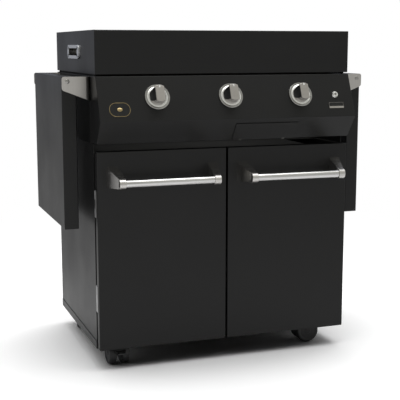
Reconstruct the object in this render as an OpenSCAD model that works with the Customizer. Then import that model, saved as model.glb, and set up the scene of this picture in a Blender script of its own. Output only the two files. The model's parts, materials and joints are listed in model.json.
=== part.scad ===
// Flat-top gas barbecue grill on a two-door cabinet cart, with folding side shelves.
// Millimetres, +Z up, the doors face -Y. The origin is on the floor under the middle.

/* [Cart] */
// Width over the closed doors, the console and the lid
cart_w = 812; // [760:1:900]
// Depth of the cabinet, from its front edge to its back
cabinet_d = 524; // [480:1:600]
// Height of the doors
door_h = 600; // [560:1:640]
// Thickness of a door
door_t = 25; // [20:1:28]
// Gap between the two doors
door_gap = 6; // [4:0.5:8]
// Air between the back of the doors and the cabinet
door_standoff = 13; // [12:0.5:16]
// Height of the doors' lower edge above the floor
floor_gap = 66; // [66:1:72]
// Thickness of the folded sheet steel
sheet = 1.5; // [1:0.1:2]
// How far the side panels hang below the doors
skirt_drop = 4; // [2:0.5:4]
// Height of the doubled hem along the bottom of a side panel
hem_h = 24; // [15:1:30]
// Width of the flanges that stiffen the side panels
flange_w = 24; // [18:1:30]
// Height of the base panel's underside above the doors' lower edge
base_lift = 25; // [25:1:30]
// Height of the turned-up edge of the base panel
base_edge = 26; // [15:1:40]

/* [Top deck] */
// How far the deck lies below the door tops
deck_drop = 2; // [1:0.5:4]
// Air between the doors and the deck's front edge
deck_gap = 2; // [1:0.5:4]
// Width of the hose cut-out in the deck
cutout_w = 115; // [80:1:130]
// Depth of the hose cut-out in the deck
cutout_d = 168; // [120:1:200]
// Distance from the cart's side to the cut-out
cutout_side = 11; // [8:1:30]
// Distance from the deck's front edge to the cut-out
cutout_front = 6; // [5:1:12]
// Height of the top rail on each side
rail_h = 36; // [30:1:40]
// How far the top rails stand above the door tops
rail_over = 19; // [15:0.5:21]
// Height of the cross rail behind the door tops
cross_rail_h = 40; // [30:1:60]
// Depth of the cross rail's notch for the hose
rail_notch = 14; // [8:1:20]

/* [Console] */
// Gap between the door tops and the console
console_gap = 23; // [21:0.5:30]
// Height of the console's lower, inward sloping face
low_face_h = 67; // [60:1:75]
// Height of the console's upper face, which carries the knobs
up_face_h = 128; // [115:1:140]
// How far the console's ridge stands in front of its top edge
ridge_out = 54; // [45:1:60]
// How far the console's bottom edge stands in front of the doors
foot_out = 4; // [2:0.5:8]
// Depth of the console's end caps behind the door plane
cap_d = 77; // [72:1:90]

/* [Lid] */
// Gap under the lid's edge
lid_gap = 5; // [4:0.5:8]
// Height of the lid
lid_h = 127; // [110:1:150]
// How far the lid's front lies behind the door plane
lid_set = 3; // [1:0.5:6]
// Width of the lip along the lid's lower edge
lid_lip = 12; // [10:0.5:13]
// Diameter of the lid's rubber bumpers
bumper_dia = 9; // [6:0.5:10]
// Distance of the bumpers from the lid's front and back
bumper_in = 24; // [20:1:40]
// Length of a lid pull's frame, over its round ends
pull_l = 160; // [150:1:190]
// Height of a lid pull's frame
pull_h = 42; // [36:1:48]
// How far the frame's round ends bulge
pull_bulge = 12; // [8:0.5:14]
// How far the frame stands off the lid
pull_out = 4.5; // [3:0.5:6]
// Length of the pull's finger pocket
pocket_l = 120; // [100:1:130]
// Height of the pull's finger pocket
pocket_h = 22; // [20:1:26]
// Depth of the pull's finger pocket inside the lid
pocket_d = 24; // [18:1:26]

/* [Knobs] */
// Distance between neighbouring knobs
knob_pitch = 229; // [200:1:240]
// Distance from the console's top edge down its face to the knob axes
knob_down = 66; // [60:1:72]
// Outer diameter of a knob's bezel ring
bezel_dia = 76; // [70:1:80]
// Width of a bezel ring
bezel_w = 10; // [8:0.5:11]
// Height of a bezel ring
bezel_h = 5; // [3:0.5:6]
// Radial gap between a bezel ring and its knob
bezel_gap = 2; // [1:0.5:3]
// Height of a knob's round foot
knob_foot_h = 2; // [1.6:0.1:6]
// Width of a knob's grip bar
grip_w = 26; // [20:1:30]
// Height of a knob's grip bar above its foot
grip_h = 30.5; // [24:0.5:34]
// Air under a knob before it is pushed in
knob_air = 3.5; // [3.4:0.1:5]
// Diameter of a valve stem
stem_dia = 8; // [6:0.5:9]
// Depth of the stem's seat in the knob
stem_seat = 16.5; // [10:0.5:20]
// Diameter of the stem holes in the console
stem_hole_dia = 12; // [11:0.5:14]

/* [Igniter] */
// Distance from the cart's middle to the igniter button
button_x = 347; // [340:1:355]
// Distance from the console's top edge down its face to the button
button_down = 68; // [60:1:72]
// Diameter of the igniter button
button_dia = 16; // [14:0.5:18]
// How far the button stands out
button_out = 6; // [5:0.5:8]
// Outer diameter of the button's collar
collar_dia = 23; // [21:0.5:26]
// Height of the button's collar
collar_h = 3.5; // [2:0.5:4]
// Size of the spark module's body
module_size = 26; // [25:1:30]
// Length of the spark module's body
module_l = 28; // [20:1:34]
// Length of the module's threaded neck
module_neck = 13; // [12:0.5:16]

/* [Grease drawer] */
// Distance from the cart's middle to the middle of the drawer
drawer_x = 114; // [110:1:120]
// Width of the drawer's front plate
drawer_w = 204; // [190:1:210]
// Width of the grease tray
tray_w = 184; // [170:1:186]
// Length of the grease tray
tray_l = 340; // [300:1:400]
// Height of the grease tray
tray_h = 34; // [30:1:36]
// Thickness of the drawer's front plate
drawer_t = 2; // [1.5:0.1:3]

/* [Firebox] */
// Height of the firebox floor above the top rails
firebox_lift = 55; // [53:1:60]
// Thickness of the cooking plate
plate_t = 5; // [4:0.5:6]
// Distance from the cart's side to the cooking plate's edge
plate_side = 18; // [17:0.5:22]
// Height of the cooking plate's splash walls
splash_h = 40; // [30:1:60]
// Height of the lower wall along the plate's front
splash_front_h = 22; // [12:1:30]
// Thickness of the splash walls
splash_t = 3; // [2:0.5:4]
// Outer diameter of a burner tube
burner_dia = 28; // [24:1:32]
// Diameter of the gas manifold
manifold_dia = 20; // [16:1:24]
// Length of the gas manifold
manifold_l = 600; // [560:1:620]
// Diameter of a valve body
valve_dia = 24; // [20:1:28]
// Thread diameter of the gas inlet fitting, a 3/8 inch flare
inlet_dia = 15.88; // [12.7:0.01:19.05]

/* [Door handles] */
// Diameter of a handle bar
bar_dia = 24; // [20:1:28]
// Distance from the doors to the axis of the handle bars
bar_out = 72; // [60:1:80]
// Distance of the handle bars' axis below the door tops
bar_down = 86; // [70:1:110]
// Overall length of a handle bar with its end rings
handle_l = 310; // [260:1:320]
// Outer diameter of the rings that hold a bar
ring_dia = 29.5; // [29:0.5:34]
// Width of the rings
ring_w = 20; // [16:1:24]
// Width of a handle post's foot on the door
post_foot_w = 34; // [28:1:40]
// Height of a handle post's foot on the door
post_foot_h = 62; // [50:1:70]
// How far the feet stand out sideways beyond the rings
post_spread = 19.5; // [0:0.5:24]

/* [Door hinges] */
// Height of a door hinge
hinge_h = 80; // [60:1:100]
// Height of the lower hinge's middle above the door's lower edge
hinge_low = 156; // [120:1:180]
// Height of the upper hinge's middle above the door's lower edge
hinge_high = 444; // [420:1:480]
// Outer diameter of a hinge's knuckles
knuckle_dia = 8; // [8:0.5:9]
// Diameter of a hinge pin
hinge_pin_dia = 4; // [3:0.5:5]

/* [Side shelves] */
// Depth of a shelf along the cart's side
shelf_d = 453; // [420:1:460]
// Length of a shelf, from its hinge to its free edge
shelf_l = 453; // [400:1:480]
// Thickness of a shelf
shelf_t = 43; // [40:1:46]
// Distance from the cart's side to a folded shelf's outer face
shelf_reach = 83; // [80:1:90]
// Height of the shelf's pivot above its folded upper edge, taken downwards
pivot_down = 14; // [13:0.5:16]
// Distance from the shelf's outer face to its pivot
pivot_in = 15; // [14:0.5:17]
// Diameter of the pivot bolts
pivot_dia = 8; // [6:0.5:10]
// How far the brackets' top edge lies below the console's top
bracket_drop = 2; // [0:0.5:6]
// Height of a bracket where it meets the cart
bracket_h = 71; // [60:1:80]
// Height of a bracket's outer end
bracket_tip_h = 39; // [30:1:44]
// Thickness of the bracket plate
bracket_t = 2.5; // [2:0.1:4]
// Width of the bracket's side flange
bracket_flange = 22; // [14:1:30]
// Distance of the front brackets behind the doors' front
bracket_set = 66; // [60:1:72]
// Air between a bracket and the shelf's end wall
bracket_gap = 6.5; // [4:0.5:8]

/* [Casters] */
// Diameter of a caster wheel
wheel_dia = 76; // [70:1:76]
// Width of one wheel of a pair
wheel_w = 24; // [20:1:25]
// Distance between the middles of a pair's wheels
wheel_pitch = 40; // [38:1:42]
// Distance from the swivel axis to the wheels' axle
trail = 22; // [18:1:23]
// Distance of the front swivel axes behind the doors' front
caster_set = 93; // [90:1:100]
// Distance from the cart's sides to the swivel axes
caster_inset = 70; // [70:1:80]
// Diameter of the caster's king pin
king_dia = 8; // [6:0.5:8]
// Diameter of a caster axle
axle_dia = 8; // [6:0.5:10]
// Width of the mounting plate
caster_plate_w = 62; // [56:1:70]
// Reach of the brake pedal beyond its pivot
pedal_l = 20; // [15:1:22]

/* [Fits] */
// Radial clearance of pins and stems that turn or slide in a bore
running = 0.05; // [0.03:0.01:0.08]
// Clearance between pieces that move past each other
clear = 0.3; // [0.3:0.05:0.5]

/* [Hidden] */
$fn = 64;

// Body of the cart, from the floor up
side = cart_w/2;
z_door0 = floor_gap;
z_door1 = z_door0 + door_h;
z_skirt = z_door0 - skirt_drop;
z_base = z_door0 + base_lift;
z_deck = z_door1 - deck_drop;
z_rail1 = z_door1 + rail_over;
z_rail0 = z_rail1 - rail_h;
z_con0 = z_door1 + console_gap;
z_ridge = z_con0 + low_face_h;
z_con1 = z_ridge + up_face_h;
z_lid0 = z_con1 + lid_gap;
z_lid1 = z_lid0 + lid_h;

// Depths, from the handle bars back to the cabinet's back
door_to_back = door_t + door_standoff + cabinet_d;
handle_reach = bar_out + ring_dia/2;
screw_head = [8, 2];
y_door = (handle_reach - door_to_back - screw_head[1])/2;
y_cab = y_door + door_t + door_standoff;
y_back = y_door + door_to_back;
y_deck = y_door + door_t + deck_gap;
y_fire = y_door + cap_d + sheet;
y_lid = y_door + lid_set;

// Console faces: each is a plane through the ridge line
up_tilt = atan2(up_face_h, ridge_out);
up_face_l = norm([ridge_out, up_face_h]);
low_in = ridge_out - foot_out;
low_tilt = atan2(low_face_h, low_in);
low_face_l = norm([low_in, low_face_h]);
y_ridge = y_door - ridge_out;
foot_flange = 16;
knob_xs = [-knob_pitch, 0, knob_pitch];

// Knobs, valves and the manifold, along the knobs' own axis
bezel_r = bezel_dia/2;
knob_r = bezel_r - bezel_w - bezel_gap;
valve_gap = 22;
valve_l = 38;
stem_in = 20;
manifold_in = valve_gap + valve_l + manifold_dia/2;
y_knob = y_door - ridge_out*knob_down/up_face_l;
z_knob = z_con1 - up_face_h*knob_down/up_face_l;
y_manifold = y_knob + manifold_in*sin(up_tilt);
z_manifold = z_knob - manifold_in*cos(up_tilt);
button_travel = 3;
neck_wall = 4;

// Firebox and cooking plate
z_fire = z_rail1 + firebox_lift;
fire_flange = 14;
ledge_w = 25;
ledge_drop = 8;
z_plate = z_con1 - ledge_drop;
plate_x = side - plate_side;
rim_front = 4;
rim_back = 8;
plate_air = [5, 12];
y_plate0 = y_fire + plate_air[0];
y_plate1 = y_back - plate_air[1];
burner_r = burner_dia/2;
burner_wall = 1.5;
burner_end = 16;
burner_tab_w = 16;
burner_off = 10;
y_burner0 = y_manifold + manifold_dia/2 + burner_off;
nozzle_dia = 8;
nozzle_l = 16;
electrode_dia = 6;
electrode_l = 50;
electrode_off = [24, 12];
electrode_out = 10;
manifold_tab_w = 20;
chute = [40, 30];
chute_in = 30;
chute_low = 4;
y_chute = y_plate0 + chute_in;

// Hose inlet: an elbow, the threaded tail and its hexagon
elbow = 18;
inlet_drop = 38;
hexagon = [5, 8];
hexagon_up = 14;

// Grease drawer and its runners
tray_lift = 7;
z_tray = z_con0 + tray_lift;
runner_t = sheet;
runner_ledge = 10;
runner_over = 60;
slot_margin = 3;
drawer_top = 18;
drawer_low = 1.5;
tab = [12, 4];
tab_xs = [-75, 67];

// Door hinges: the pin stands in the gap between the door and the cabinet
hinge_zs = [z_door0 + hinge_low, z_door0 + hinge_high];
pin_x = side - knuckle_dia/2 + sheet;
pin_behind = 6;
y_pin = y_door + door_t + pin_behind;
leaf = [6, 26];
leaf_front = 3;

// Handle bars
z_bar = z_door1 - bar_down;
y_bar = y_door - bar_out;
door_mid = (side + door_gap/2)/2;
post_lift = 43;

// Side shelves and their brackets
z_bracket = z_con1 - bracket_drop;
shelf_x = side + shelf_reach;
pivot_x = shelf_x - pivot_in;
z_pivot = z_bracket - pivot_down;
y_bracket = y_door + bracket_set;
bracket_y = [y_bracket, y_bracket + 2*bracket_t + 2*bracket_gap + shelf_d];
y_shelf0 = bracket_y[0] + bracket_t + bracket_gap;
y_shelf1 = y_shelf0 + shelf_d;
bolt_head = [14, 3.5];
bolt_over = 7;
bolt_in = bracket_t + bracket_gap + bolt_over;
bracket_corner = 8;
bracket_over = 1;
boss_dia = 20;
boss_h = 4.5;

// Casters: the rear ones stand the same distance in from the back as from the sides
caster_x = side - caster_inset;
y_caster0 = y_door + caster_set;
y_caster1 = y_back - caster_inset;
plate_thick = 3;
wheel_air = 2;
web_w = wheel_pitch - wheel_w - 2*wheel_air;
web_low = 4;
web_high = 36;
web_front = 2;
hub_r = 14;
hood_air = 1.5;
hood_wall = 2;
hood_r = wheel_dia/2 + hood_air + hood_wall;
hood_over = 1;
hood_w = wheel_pitch + wheel_w + 2*hood_over;
hood_low = 4;
neck_r = 14;
neck_gap = 0.5;
king_l = 32;
pedal_t = 4;
pedal_w = 24;
pedal_pin_dia = 4;
pedal_z = 10;
pedal_in = 4.5;
pedal_wall = 1.8;
ear = [11.5, 3, 8];
ear_in = 3;
ear_gap = 1.8;
// Heading of each caster's trail, counted from +X towards +Y
caster_turn = [-90, 180, -105, -145];

// Door catches
catch = [40, 16];

// Screws that hold the back panel
screw_l = 8;
screw_dia = 4;
screw_end = 30;
screw_step = (z_rail0 - z_skirt - 3*screw_end)/3;
screw_zs = [for (k = [0:3]) z_rail0 - screw_end - k*screw_step];
vent = [60, 8];
vent_xs = [-240, -120, 0, 120, 240];
vent_zs = [z_base + 50, z_rail0 - 90];

// Tank ring on the base panel
ring_id = 206;
ring_t = 3;
ring_h = 26;
ring_at = [side/2, (y_cab + y_back)/2];

black = "#2a2a2b";
grey = "#48494c";
steel = "#b5b1ad";
brass = "#b08d4a";
rubber = "#1b1b1b";

// A box between two corners
module slab(x0, x1, y0, y1, z0, z1) {
    translate([x0, y0, z0]) cube([x1 - x0, y1 - y0, z1 - z0]);
}

// The same shape on both sides of the cart
module both_sides() {
    children();
    mirror([1, 0, 0]) children();
}

// Local Z stands square off the console's upper face, local Y points up that face
module on_up_face(x, down) {
    translate([x, y_door, z_con1]) rotate([up_tilt, 0, 0]) translate([0, -down, 0]) children();
}

// Local Z stands square off the console's lower face, local Y points up that face
module on_low_face(x) {
    translate([x, y_ridge, z_ridge]) rotate([180 - low_tilt, 0, 0]) children();
}

// A tube or a ring along Z
module ring(outer, inner, h) {
    difference() {
        cylinder(r = outer, h = h);
        translate([0, 0, -1]) cylinder(r = inner, h = h + 2);
    }
}

/* ---- cabinet ---- */

module base_panel() {
    color(black) difference() {
        slab(-side + sheet, side - sheet, y_cab + sheet, y_back - sheet, z_base, z_base + base_edge);
        slab(-side + 2*sheet, side - 2*sheet, y_cab + 2*sheet, y_back - 2*sheet,
             z_base + sheet, z_base + base_edge + 1);
    }
}

// Holes for the back panel's screws, seen from the cart's middle
module back_screw_holes() {
    for (z = screw_zs)
        translate([-side + sheet + flange_w/2, y_back - 3*sheet, z]) rotate([-90, 0, 0])
            cylinder(d = screw_dia, h = 4*sheet);
}

module side_panel() {
    difference() {
        union() {
            slab(-side, -side + sheet, y_cab, y_back - sheet, z_skirt, z_rail0);
            slab(-side - sheet, -side, y_cab, y_back - sheet, z_skirt, z_skirt + hem_h);
            slab(-side, -side + sheet + flange_w, y_cab, y_cab + sheet, z_skirt, z_rail0);
            slab(-side, -side + sheet + flange_w, y_back - 2*sheet, y_back - sheet,
                 z_base + base_edge + 1, z_rail0);
        }
        back_screw_holes();
    }
}

module left_side_panel() {
    color(grey) side_panel();
}

module right_side_panel() {
    color(grey) mirror([1, 0, 0]) side_panel();
}

module back_panel() {
    color(black) difference() {
        slab(-side, side, y_back - sheet, y_back, z_skirt, z_rail1);
        both_sides() back_screw_holes();
        for (x = vent_xs, z = vent_zs)
            slab(x - vent[0]/2, x + vent[0]/2, y_back - 2*sheet, y_back + 1, z, z + vent[1]);
    }
}

module back_panel_screws() {
    color(steel) both_sides() for (z = screw_zs)
        translate([-side + sheet + flange_w/2, y_back, z]) rotate([90, 0, 0]) {
            cylinder(d = screw_dia, h = screw_l);
            translate([0, 0, -screw_head[1]]) cylinder(d = screw_head[0], h = screw_head[1]);
        }
}

module top_deck() {
    cut_x = side - cutout_side;
    cut_y = y_deck + cutout_front;
    color(grey) difference() {
        slab(-side + sheet, side - sheet, y_deck, y_back - sheet, z_deck - sheet, z_deck);
        slab(cut_x - cutout_w, cut_x, cut_y, cut_y + cutout_d, z_deck - 2*sheet, z_deck + 1);
    }
}

module top_rails() {
    color(grey) both_sides() {
        slab(-side, -side + sheet, y_cab, y_back - sheet, z_rail0, z_rail1);
        slab(-side, -side + fire_flange, y_fire, y_back - sheet, z_rail1 - sheet, z_rail1);
    }
}

// The rail behind the door tops, notched where the hose comes through the deck
module cross_rail() {
    color(black) difference() {
        slab(-side + sheet, side - sheet, y_cab + sheet, y_cab + 2*sheet,
             z_deck - sheet - cross_rail_h, z_deck - sheet);
        slab(side - cutout_side - cutout_w, side - cutout_side, y_cab, y_cab + 3*sheet,
             z_deck - sheet - rail_notch, z_deck);
    }
}

module door_catches() {
    color(steel) both_sides()
        slab(-door_gap - catch[0], -door_gap, y_door + door_t + clear, y_cab + sheet,
             z_deck - sheet - cross_rail_h, z_deck - sheet - cross_rail_h + catch[1]);
}

// The fixed half of the door hinges: two knuckles, the leaf on the cabinet and the pin
module cabinet_hinges() {
    third = hinge_h/3;
    color(steel) both_sides() for (z = hinge_zs) translate([-pin_x, y_pin, z - hinge_h/2]) {
        difference() {
            union() {
                for (k = [0, 2]) translate([0, 0, k*third]) {
                    cylinder(d = knuckle_dia, h = third);
                    slab(0, leaf[0], knuckle_dia/2 - sheet, knuckle_dia/2, 0, third);
                }
                slab(leaf[0], leaf[1], knuckle_dia/2 - sheet, y_cab - y_pin, 0, hinge_h);
            }
            translate([0, 0, -1]) cylinder(d = hinge_pin_dia, h = hinge_h + 2);
        }
        cylinder(d = hinge_pin_dia, h = hinge_h);
    }
}

module tank_ring() {
    color(steel) translate([ring_at[0], ring_at[1], z_base + sheet])
        ring(ring_id/2 + ring_t, ring_id/2, ring_h);
}

/* ---- firebox and gas ---- */

module firebox() {
    inner = side - sheet;
    y0 = y_fire + sheet;
    y1 = y_back - sheet;
    color(black) difference() {
        union() {
            difference() {
                slab(-side, side, y_fire, y_back, z_rail1, z_con1);
                slab(-inner, inner, y0, y1, z_fire + sheet, z_con1 - sheet);
                slab(-inner, inner, y0, y1, z_rail1 - 1, z_fire);
                slab(-side + fire_flange, side - fire_flange, y_fire + rim_front, y_back - rim_back,
                     z_con1 - 2*sheet, z_con1 + 1);
            }
            for (s = [-1, 1])
                slab(min(s*inner, s*(inner - ledge_w)), max(s*inner, s*(inner - ledge_w)), y0, y1,
                     z_plate - sheet, z_plate);
        }
        for (x = knob_xs) {
            translate([x, y_fire - 1, z_manifold]) rotate([-90, 0, 0])
                cylinder(r = burner_r, h = sheet + 2);
            translate([x + electrode_off[0], y_fire - 1, z_manifold + electrode_off[1]])
                rotate([-90, 0, 0]) cylinder(d = electrode_dia, h = sheet + 2);
        }
        slab(drawer_x - chute[0]/2 - 1, drawer_x + chute[0]/2 + 1, y_chute - 1, y_chute + chute[1] + 1,
             z_fire - 1, z_fire + 2*sheet);
        tray_slot(y_fire - 1, y_fire + 2*sheet);
    }
}

// The way of the grease tray through a sheet between two depths
module tray_slot(y0, y1) {
    slab(drawer_x - tray_w/2 - slot_margin, drawer_x + tray_w/2 + slot_margin, y0, y1,
         z_tray - slot_margin, z_tray + tray_h + slot_margin);
}

// The cooking plate with its splash walls and the chute down to the grease tray
module griddle_plate() {
    top = z_plate + plate_t;
    color("#3a3836") difference() {
        union() {
            slab(-plate_x, plate_x, y_plate0, y_plate1, z_plate, top);
            for (s = [-1, 1])
                slab(min(s*plate_x, s*(plate_x - splash_t)), max(s*plate_x, s*(plate_x - splash_t)),
                     y_plate0, y_plate1, top, top + splash_h);
            slab(-plate_x, plate_x, y_plate1 - splash_t, y_plate1, top, top + splash_h);
            slab(-plate_x, plate_x, y_plate0, y_plate0 + splash_t, top, top + splash_front_h);
            slab(drawer_x - chute[0]/2, drawer_x + chute[0]/2, y_chute, y_chute + chute[1],
                 z_fire - chute_low, z_plate);
        }
        slab(drawer_x - chute[0]/2 + sheet, drawer_x + chute[0]/2 - sheet,
             y_chute + sheet, y_chute + chute[1] - sheet, z_fire - chute_low - 1, top + 1);
    }
}

module burners() {
    l = y_back - sheet - burner_end - y_burner0;
    color(steel) for (x = knob_xs) translate([x, y_burner0, z_manifold]) rotate([-90, 0, 0]) {
        difference() {
            cylinder(r = burner_r, h = l);
            translate([0, 0, -1]) cylinder(r = burner_r - burner_wall, h = l - burner_wall);
        }
        translate([-burner_tab_w/2, -sheet/2, l]) cube([burner_tab_w, sheet, burner_end]);
    }
}

module igniter_electrodes() {
    color("ivory") for (x = knob_xs)
        translate([x + electrode_off[0], y_fire - electrode_out, z_manifold + electrode_off[1]])
            rotate([-90, 0, 0]) cylinder(d = electrode_dia, h = electrode_l);
}

// The supply pipe, its nozzles into the burners and the tabs that hold it to the firebox
module gas_manifold() {
    color(steel) {
        translate([-manifold_l/2, y_manifold, z_manifold]) rotate([0, 90, 0])
            cylinder(d = manifold_dia, h = manifold_l);
        for (x = knob_xs) translate([x, y_manifold, z_manifold]) rotate([-90, 0, 0])
            cylinder(d = nozzle_dia, h = manifold_dia/2 + nozzle_l);
        for (x = [-knob_pitch/2, knob_pitch/2])
            slab(x - manifold_tab_w/2, x + manifold_tab_w/2, y_manifold, y_fire,
                 z_manifold - sheet, z_manifold + sheet);
    }
}

module gas_valves() {
    color(brass) for (x = knob_xs) difference() {
        on_up_face(x, knob_down) translate([0, 0, -manifold_in])
            difference() {
                cylinder(d = valve_dia, h = manifold_in - valve_gap);
                translate([0, 0, manifold_in - valve_gap - stem_in - knob_air])
                    cylinder(r = stem_dia/2 + running, h = stem_in + knob_air + 1);
            }
        translate([x - valve_dia, y_manifold, z_manifold]) rotate([0, 90, 0])
            cylinder(d = manifold_dia, h = 2*valve_dia);
        translate([x, y_manifold, z_manifold]) rotate([-90, 0, 0])
            cylinder(d = nozzle_dia, h = manifold_dia);
    }
}

// The elbow at the manifold's right end, where the hose is screwed on from below
module gas_inlet() {
    color(brass) translate([manifold_l/2, y_manifold, z_manifold]) {
        rotate([0, 90, 0]) cylinder(d = manifold_dia - 3, h = elbow);
        translate([elbow, 0, 0]) sphere(d = manifold_dia + 1);
        translate([elbow, 0, -inlet_drop]) cylinder(d = inlet_dia, h = inlet_drop);
        translate([elbow, 0, hexagon_up - inlet_drop])
            cylinder(d = inlet_dia + hexagon[0], h = hexagon[1], $fn = 6);
    }
}

/* ---- console ---- */

// Cross-section of the console's outside, as depth and height
function console_line(inset) =
    [[cap_d + sheet, z_con1 - inset],
     [inset*tan(up_tilt/2), z_con1 - inset],
     [-ridge_out + inset*cos((up_tilt - low_tilt)/2)/sin((up_tilt + low_tilt)/2),
      z_ridge + inset*sin((up_tilt - low_tilt)/2)/sin((up_tilt + low_tilt)/2)],
     [-foot_out + inset*tan(low_tilt/2), z_con0 + inset],
     [foot_flange, z_con0 + inset]];

module console_panel() {
    outer = console_line(0);
    inner = console_line(sheet);
    color(black) difference() {
        translate([-side + sheet, y_door, 0]) rotate([90, 0, 90])
            linear_extrude(cart_w - 2*sheet)
                polygon(concat(outer, [for (k = [len(inner) - 1:-1:0]) inner[k]]));
        for (x = knob_xs) on_up_face(x, knob_down) translate([0, 0, -3*sheet])
            cylinder(d = stem_hole_dia, h = 6*sheet);
        on_up_face(button_x, button_down) translate([0, 0, -3*sheet])
            cylinder(r = button_dia/2 + clear, h = 6*sheet);
        tray_slot(y_ridge, y_door + foot_flange);
    }
}

module console_end_caps() {
    outer = console_line(0);
    color(black) both_sides() translate([-side, y_door, 0]) rotate([90, 0, 90])
        linear_extrude(sheet)
            polygon([[cap_d, z_con1], outer[1], outer[2], outer[3], [cap_d, z_con0]]);
}

// The rings round the knobs and the small one round the igniter button
module control_bezels() {
    color(steel) {
        for (x = knob_xs) on_up_face(x, knob_down)
            ring(bezel_r, bezel_r - bezel_w, bezel_h);
        on_up_face(button_x, button_down)
            ring(collar_dia/2, button_dia/2 + clear, collar_h);
    }
}

// The spark module: a threaded neck against the console and the body behind it
module igniter_module() {
    color(rubber) on_up_face(button_x, button_down) {
        translate([0, 0, -module_neck])
            ring(button_dia/2 + neck_wall, button_dia/2 + clear, module_neck - sheet);
        translate([-module_size/2, -module_size/2, -module_neck - module_l])
            cube([module_size, module_size, module_l]);
    }
}

/* ---- grease drawer ---- */

// Depth of the console's lower face at a height, measured from the door plane
function low_face_y(z, off) =
    -ridge_out + (z_ridge - z)*low_in/low_face_h - off/sin(low_tilt);

// The drawer's sloping front plate, with two clips along its lower edge
module drawer_front() {
    low = low_face_l - drawer_low;
    on_low_face(drawer_x) {
        color(black) translate([-drawer_w/2, -low, clear]) cube([drawer_w, low - drawer_top, drawer_t]);
        color(steel) for (x = tab_xs)
            translate([x - tab[0]/2, -low - tab[1] - running, clear])
                cube([tab[0], tab[1], drawer_t]);
    }
}

// Side outline of the tray: its front follows the drawer's sloping front plate
function tray_side(wall) =
    [[low_face_y(z_tray + wall, clear) + wall*1.25, z_tray + wall],
     [tray_l - wall, z_tray + wall],
     [tray_l - wall, z_tray + tray_h],
     [low_face_y(z_tray + tray_h, clear) + wall*1.25, z_tray + tray_h]];

module grease_tray() {
    inner = tray_side(sheet);
    color(steel) difference() {
        translate([drawer_x - tray_w/2, y_door, 0]) rotate([90, 0, 90])
            linear_extrude(tray_w) polygon(tray_side(0));
        translate([drawer_x - tray_w/2 + sheet, y_door, 0]) rotate([90, 0, 90])
            linear_extrude(tray_w - 2*sheet)
                polygon([inner[0], inner[1], inner[2] + [0, 1], inner[3] + [0, 1]]);
    }
}

// Two angle rails hung from the firebox floor; the tray slides on their ledges
module drawer_runners() {
    web = tray_w/2 + clear;
    low = z_tray - clear;
    y1 = y_door + tray_l + runner_over;
    color(steel) for (s = [-1, 1]) translate([drawer_x, 0, 0]) {
        slab(min(s*web, s*(web + runner_t)), max(s*web, s*(web + runner_t)),
             y_fire + rim_front, y1, low - runner_t, z_fire);
        slab(min(s*(web - runner_ledge), s*web), max(s*(web - runner_ledge), s*web),
             y_fire + rim_front, y1, low - runner_t, low);
    }
}

/* ---- side shelf brackets ---- */

// One bracket: the front plate and the flange that is bolted to the cart's side
module bracket() {
    tip = side + shelf_reach + bracket_over;
    difference() {
        union() {
            translate([0, bracket_t, 0]) rotate([90, 0, 0]) linear_extrude(bracket_t)
                difference() {
                    polygon([[-side, z_bracket], [-tip, z_bracket], [-tip, z_bracket - bracket_tip_h],
                             [-side, z_bracket - bracket_h]]);
                    translate([-tip, z_bracket]) corner_cut(bracket_corner);
                }
            slab(-side - bracket_t, -side, 0, bracket_flange, z_bracket - bracket_h, z_bracket);
        }
        translate([-pivot_x, -1, z_pivot]) rotate([-90, 0, 0])
            cylinder(d = pivot_dia, h = bracket_t + 2);
    }
}

// What a round upper left corner leaves out of a square one
module corner_cut(r) {
    difference() {
        translate([-1, -r]) square([r + 1, r + 1]);
        translate([r, -r]) circle(r);
    }
}

// The same shape at the front bracket and, turned about, at the rear one
module front_and_rear() {
    translate([0, bracket_y[0], 0]) children();
    translate([0, bracket_y[1], 0]) mirror([0, 1, 0]) children();
}

module shelf_brackets() {
    color(steel) both_sides() front_and_rear() bracket();
}

module shelf_pivot_bolts() {
    color(steel) both_sides() front_and_rear()
        translate([-pivot_x, 0, z_pivot]) rotate([-90, 0, 0]) {
            cylinder(d = pivot_dia, h = bolt_in);
            translate([0, 0, -bolt_head[1]]) cylinder(d = bolt_head[0], h = bolt_head[1]);
        }
}

/* ---- lid ---- */

module lid_shell() {
    hole_l = pocket_l + 2*sheet;
    hole_h = pocket_h + 2*sheet;
    mid_y = (y_lid + y_back)/2;
    mid_z = z_lid0 + lid_h/2;
    color(grey) difference() {
        slab(-side, side, y_lid, y_back, z_lid0, z_lid1);
        slab(-side + sheet, side - sheet, y_lid + sheet, y_back - sheet, z_lid0 + sheet, z_lid1 - sheet);
        slab(-side + lid_lip, side - lid_lip, y_lid + lid_lip, y_back - lid_lip + 4,
             z_lid0 - 1, z_lid0 + 2*sheet);
        slab(-side - 1, side + 1, mid_y - hole_l/2, mid_y + hole_l/2, mid_z - hole_h/2, mid_z + hole_h/2);
    }
}

// A recessed pull: a frame with round ends outside and a pocket inside the lid
module lid_pulls() {
    mid_y = (y_lid + y_back)/2;
    end_r = (pull_h*pull_h/4 + pull_bulge*pull_bulge)/(2*pull_bulge);
    color(steel) both_sides() translate([-side, mid_y, z_lid0 + lid_h/2]) rotate([0, -90, 0])
        difference() {
            union() {
                linear_extrude(pull_out) intersection() {
                    square([pull_h, pull_l], center = true);
                    union() {
                        for (s = [-1, 1]) translate([0, s*(pull_l/2 - end_r)]) circle(r = end_r);
                        square([pull_h, pull_l - 2*pull_bulge], center = true);
                    }
                }
                translate([-pocket_h/2 - sheet, -pocket_l/2 - sheet, -pocket_d])
                    cube([pocket_h + 2*sheet, pocket_l + 2*sheet, pocket_d + sheet]);
            }
            translate([-pocket_h/2, -pocket_l/2, -pocket_d + sheet])
                cube([pocket_h, pocket_l, pocket_d + pull_out]);
        }
}

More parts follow.
